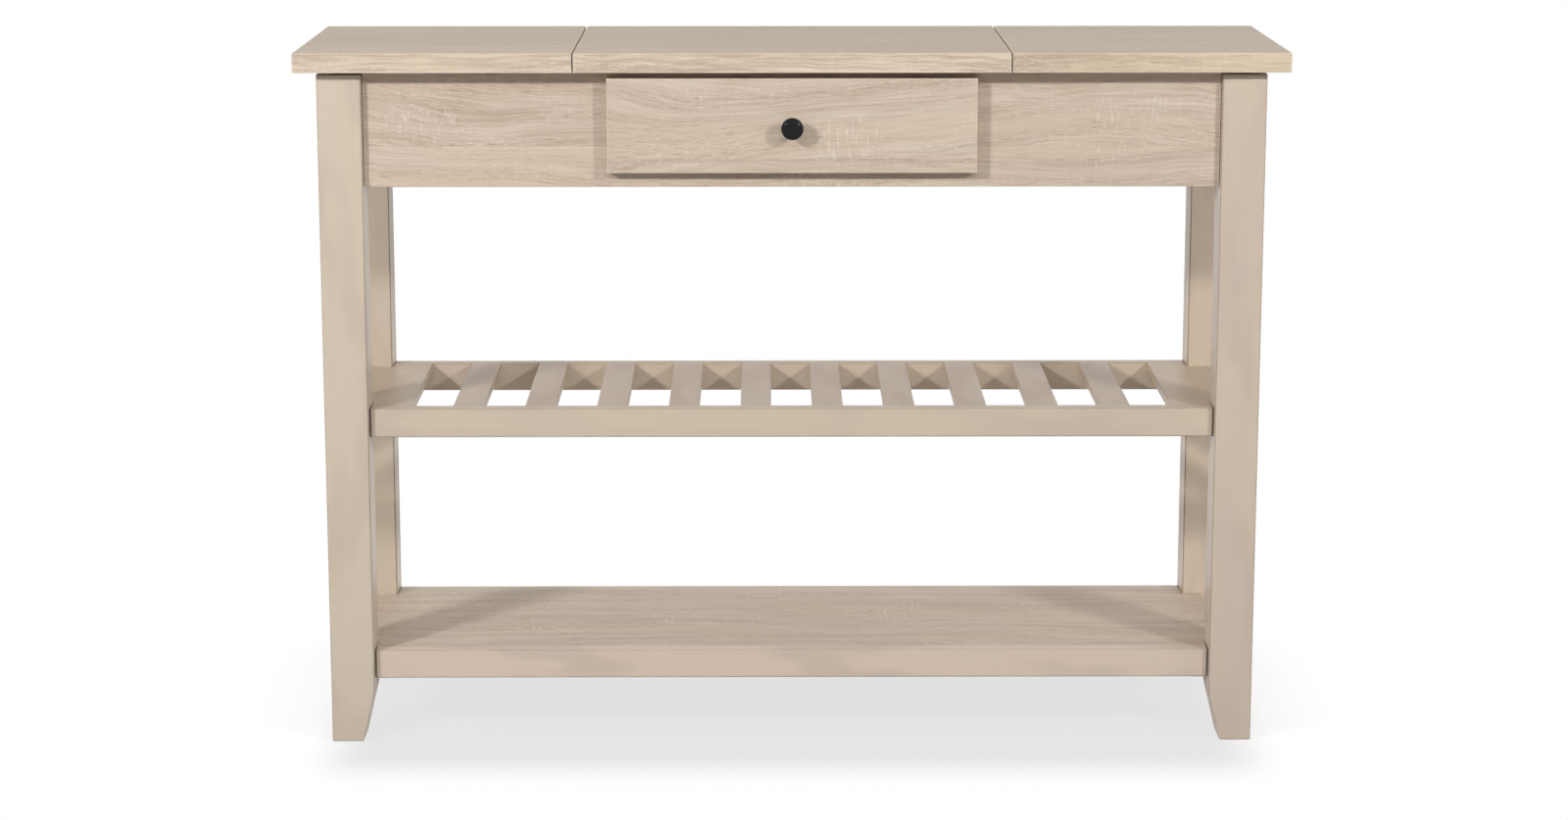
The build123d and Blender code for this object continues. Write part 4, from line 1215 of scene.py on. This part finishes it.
# Metres, sizes being width and height. The left key lamp shines along KEY_WAY and the right one
# is its mirror image; their two levels differ. A side lamp stands at either side.
KEY_WAY, KEY_DISTANCE, KEY_AIM = (0.95, 1.0, -0.63), 4.2, Vector((0, -0.15, 0.6))
KEY_SIZE, KEY_LEVELS = (0.5, 0.24), (0.51, 0.38)
CATCH_SIZE, CATCH_LEVEL = (0.55, 0.27), 0.2
BODY_MIDDLE = (0, 0, 0.5)
SIDE_PLACE, SIDE_SIZE, SIDE_LEVEL = (3.4, 0.3, 1.0), (2.0, 2.0), 0.16

# Place, target, size and level. The back one is low, to reach the back and not the tops.
FILL_LAMPS = {
    "front fill lamp": ((0, -5.5, 3.9), KEY_AIM, (3.0, 1.0), 0.13),
    "back fill lamp": ((0, 5.0, 0.75), BODY_MIDDLE, (3.4, 0.9), 0.22),
}

# The world round the object is white to look at, and gives this level of a warmer light
WHITE, WORLD_LIGHT, WORLD_LEVEL = grey(1.0), (1.0, 0.965, 0.925, 1), 0.24


def make_lights():
    """Two key lamps for the double shadows, side lamps, fills and the world."""
    key = Vector(KEY_WAY).normalized() * KEY_DISTANCE
    for side, name, level in zip((1, -1), ("left", "right"), KEY_LEVELS):
        position = KEY_AIM - Vector((key.x * side, key.y, key.z))
        soft_lamp(f"front {name} lamp", position, KEY_AIM, KEY_SIZE, level, mirrored=False)
        # The same soft box as polished pieces mirror it, dimmer, so that the top doesn't
        # glare when it is seen from behind
        catch = f"{name} catch light"
        soft_lamp(catch, position, KEY_AIM, CATCH_SIZE, CATCH_LEVEL, lights=False)
        x, y, z = SIDE_PLACE
        soft_lamp(f"{name} side lamp", (-x * side, y, z), BODY_MIDDLE, SIDE_SIZE, SIDE_LEVEL)
    for name, (place, target, size, level) in FILL_LAMPS.items():
        soft_lamp(name, place, target, size, level, mirrored=False)
    world = bpy.data.worlds.new("studio")
    bpy.context.scene.world = world
    world.use_nodes = True
    world.node_tree.nodes.clear()
    b = Bench(world.node_tree)
    seen = b.directly_seen()
    strength = b.step(seen, 0.0, 1.0, WORLD_LEVEL, 1.0)
    colour = b.mix(seen, WORLD_LIGHT, WHITE)
    background = b.node("ShaderNodeBackground", {"Color": colour, "Strength": strength})
    b.node("ShaderNodeOutputWorld", {"Surface": background.outputs[0]})


# Camera: metres, millimetres of lens and sensor, and degrees down and round to the right
CAMERA_PLACE, CAMERA_DOWN, CAMERA_RIGHT = (-0.039, -4.6, 1.35), 11.12, 0.37
LENS, SENSOR_WIDTH, LENS_SHIFT = 79.85, 36.0, -0.015


def make_camera():
    """The view that the photograph was taken in."""
    data = bpy.data.cameras.new("camera")
    data.sensor_width = SENSOR_WIDTH
    data.lens = LENS
    data.shift_y = LENS_SHIFT
    camera = bpy.data.objects.new("camera", data)
    camera.location = CAMERA_PLACE
    camera.rotation_euler = (math.radians(90 - CAMERA_DOWN), 0, math.radians(-CAMERA_RIGHT))
    bpy.context.scene.collection.objects.link(camera)
    bpy.context.scene.camera = camera
    bpy.context.scene.view_settings.view_transform = "Standard"


make_floor()
make_lights()
make_camera()

bpy.context.view_layer.update()
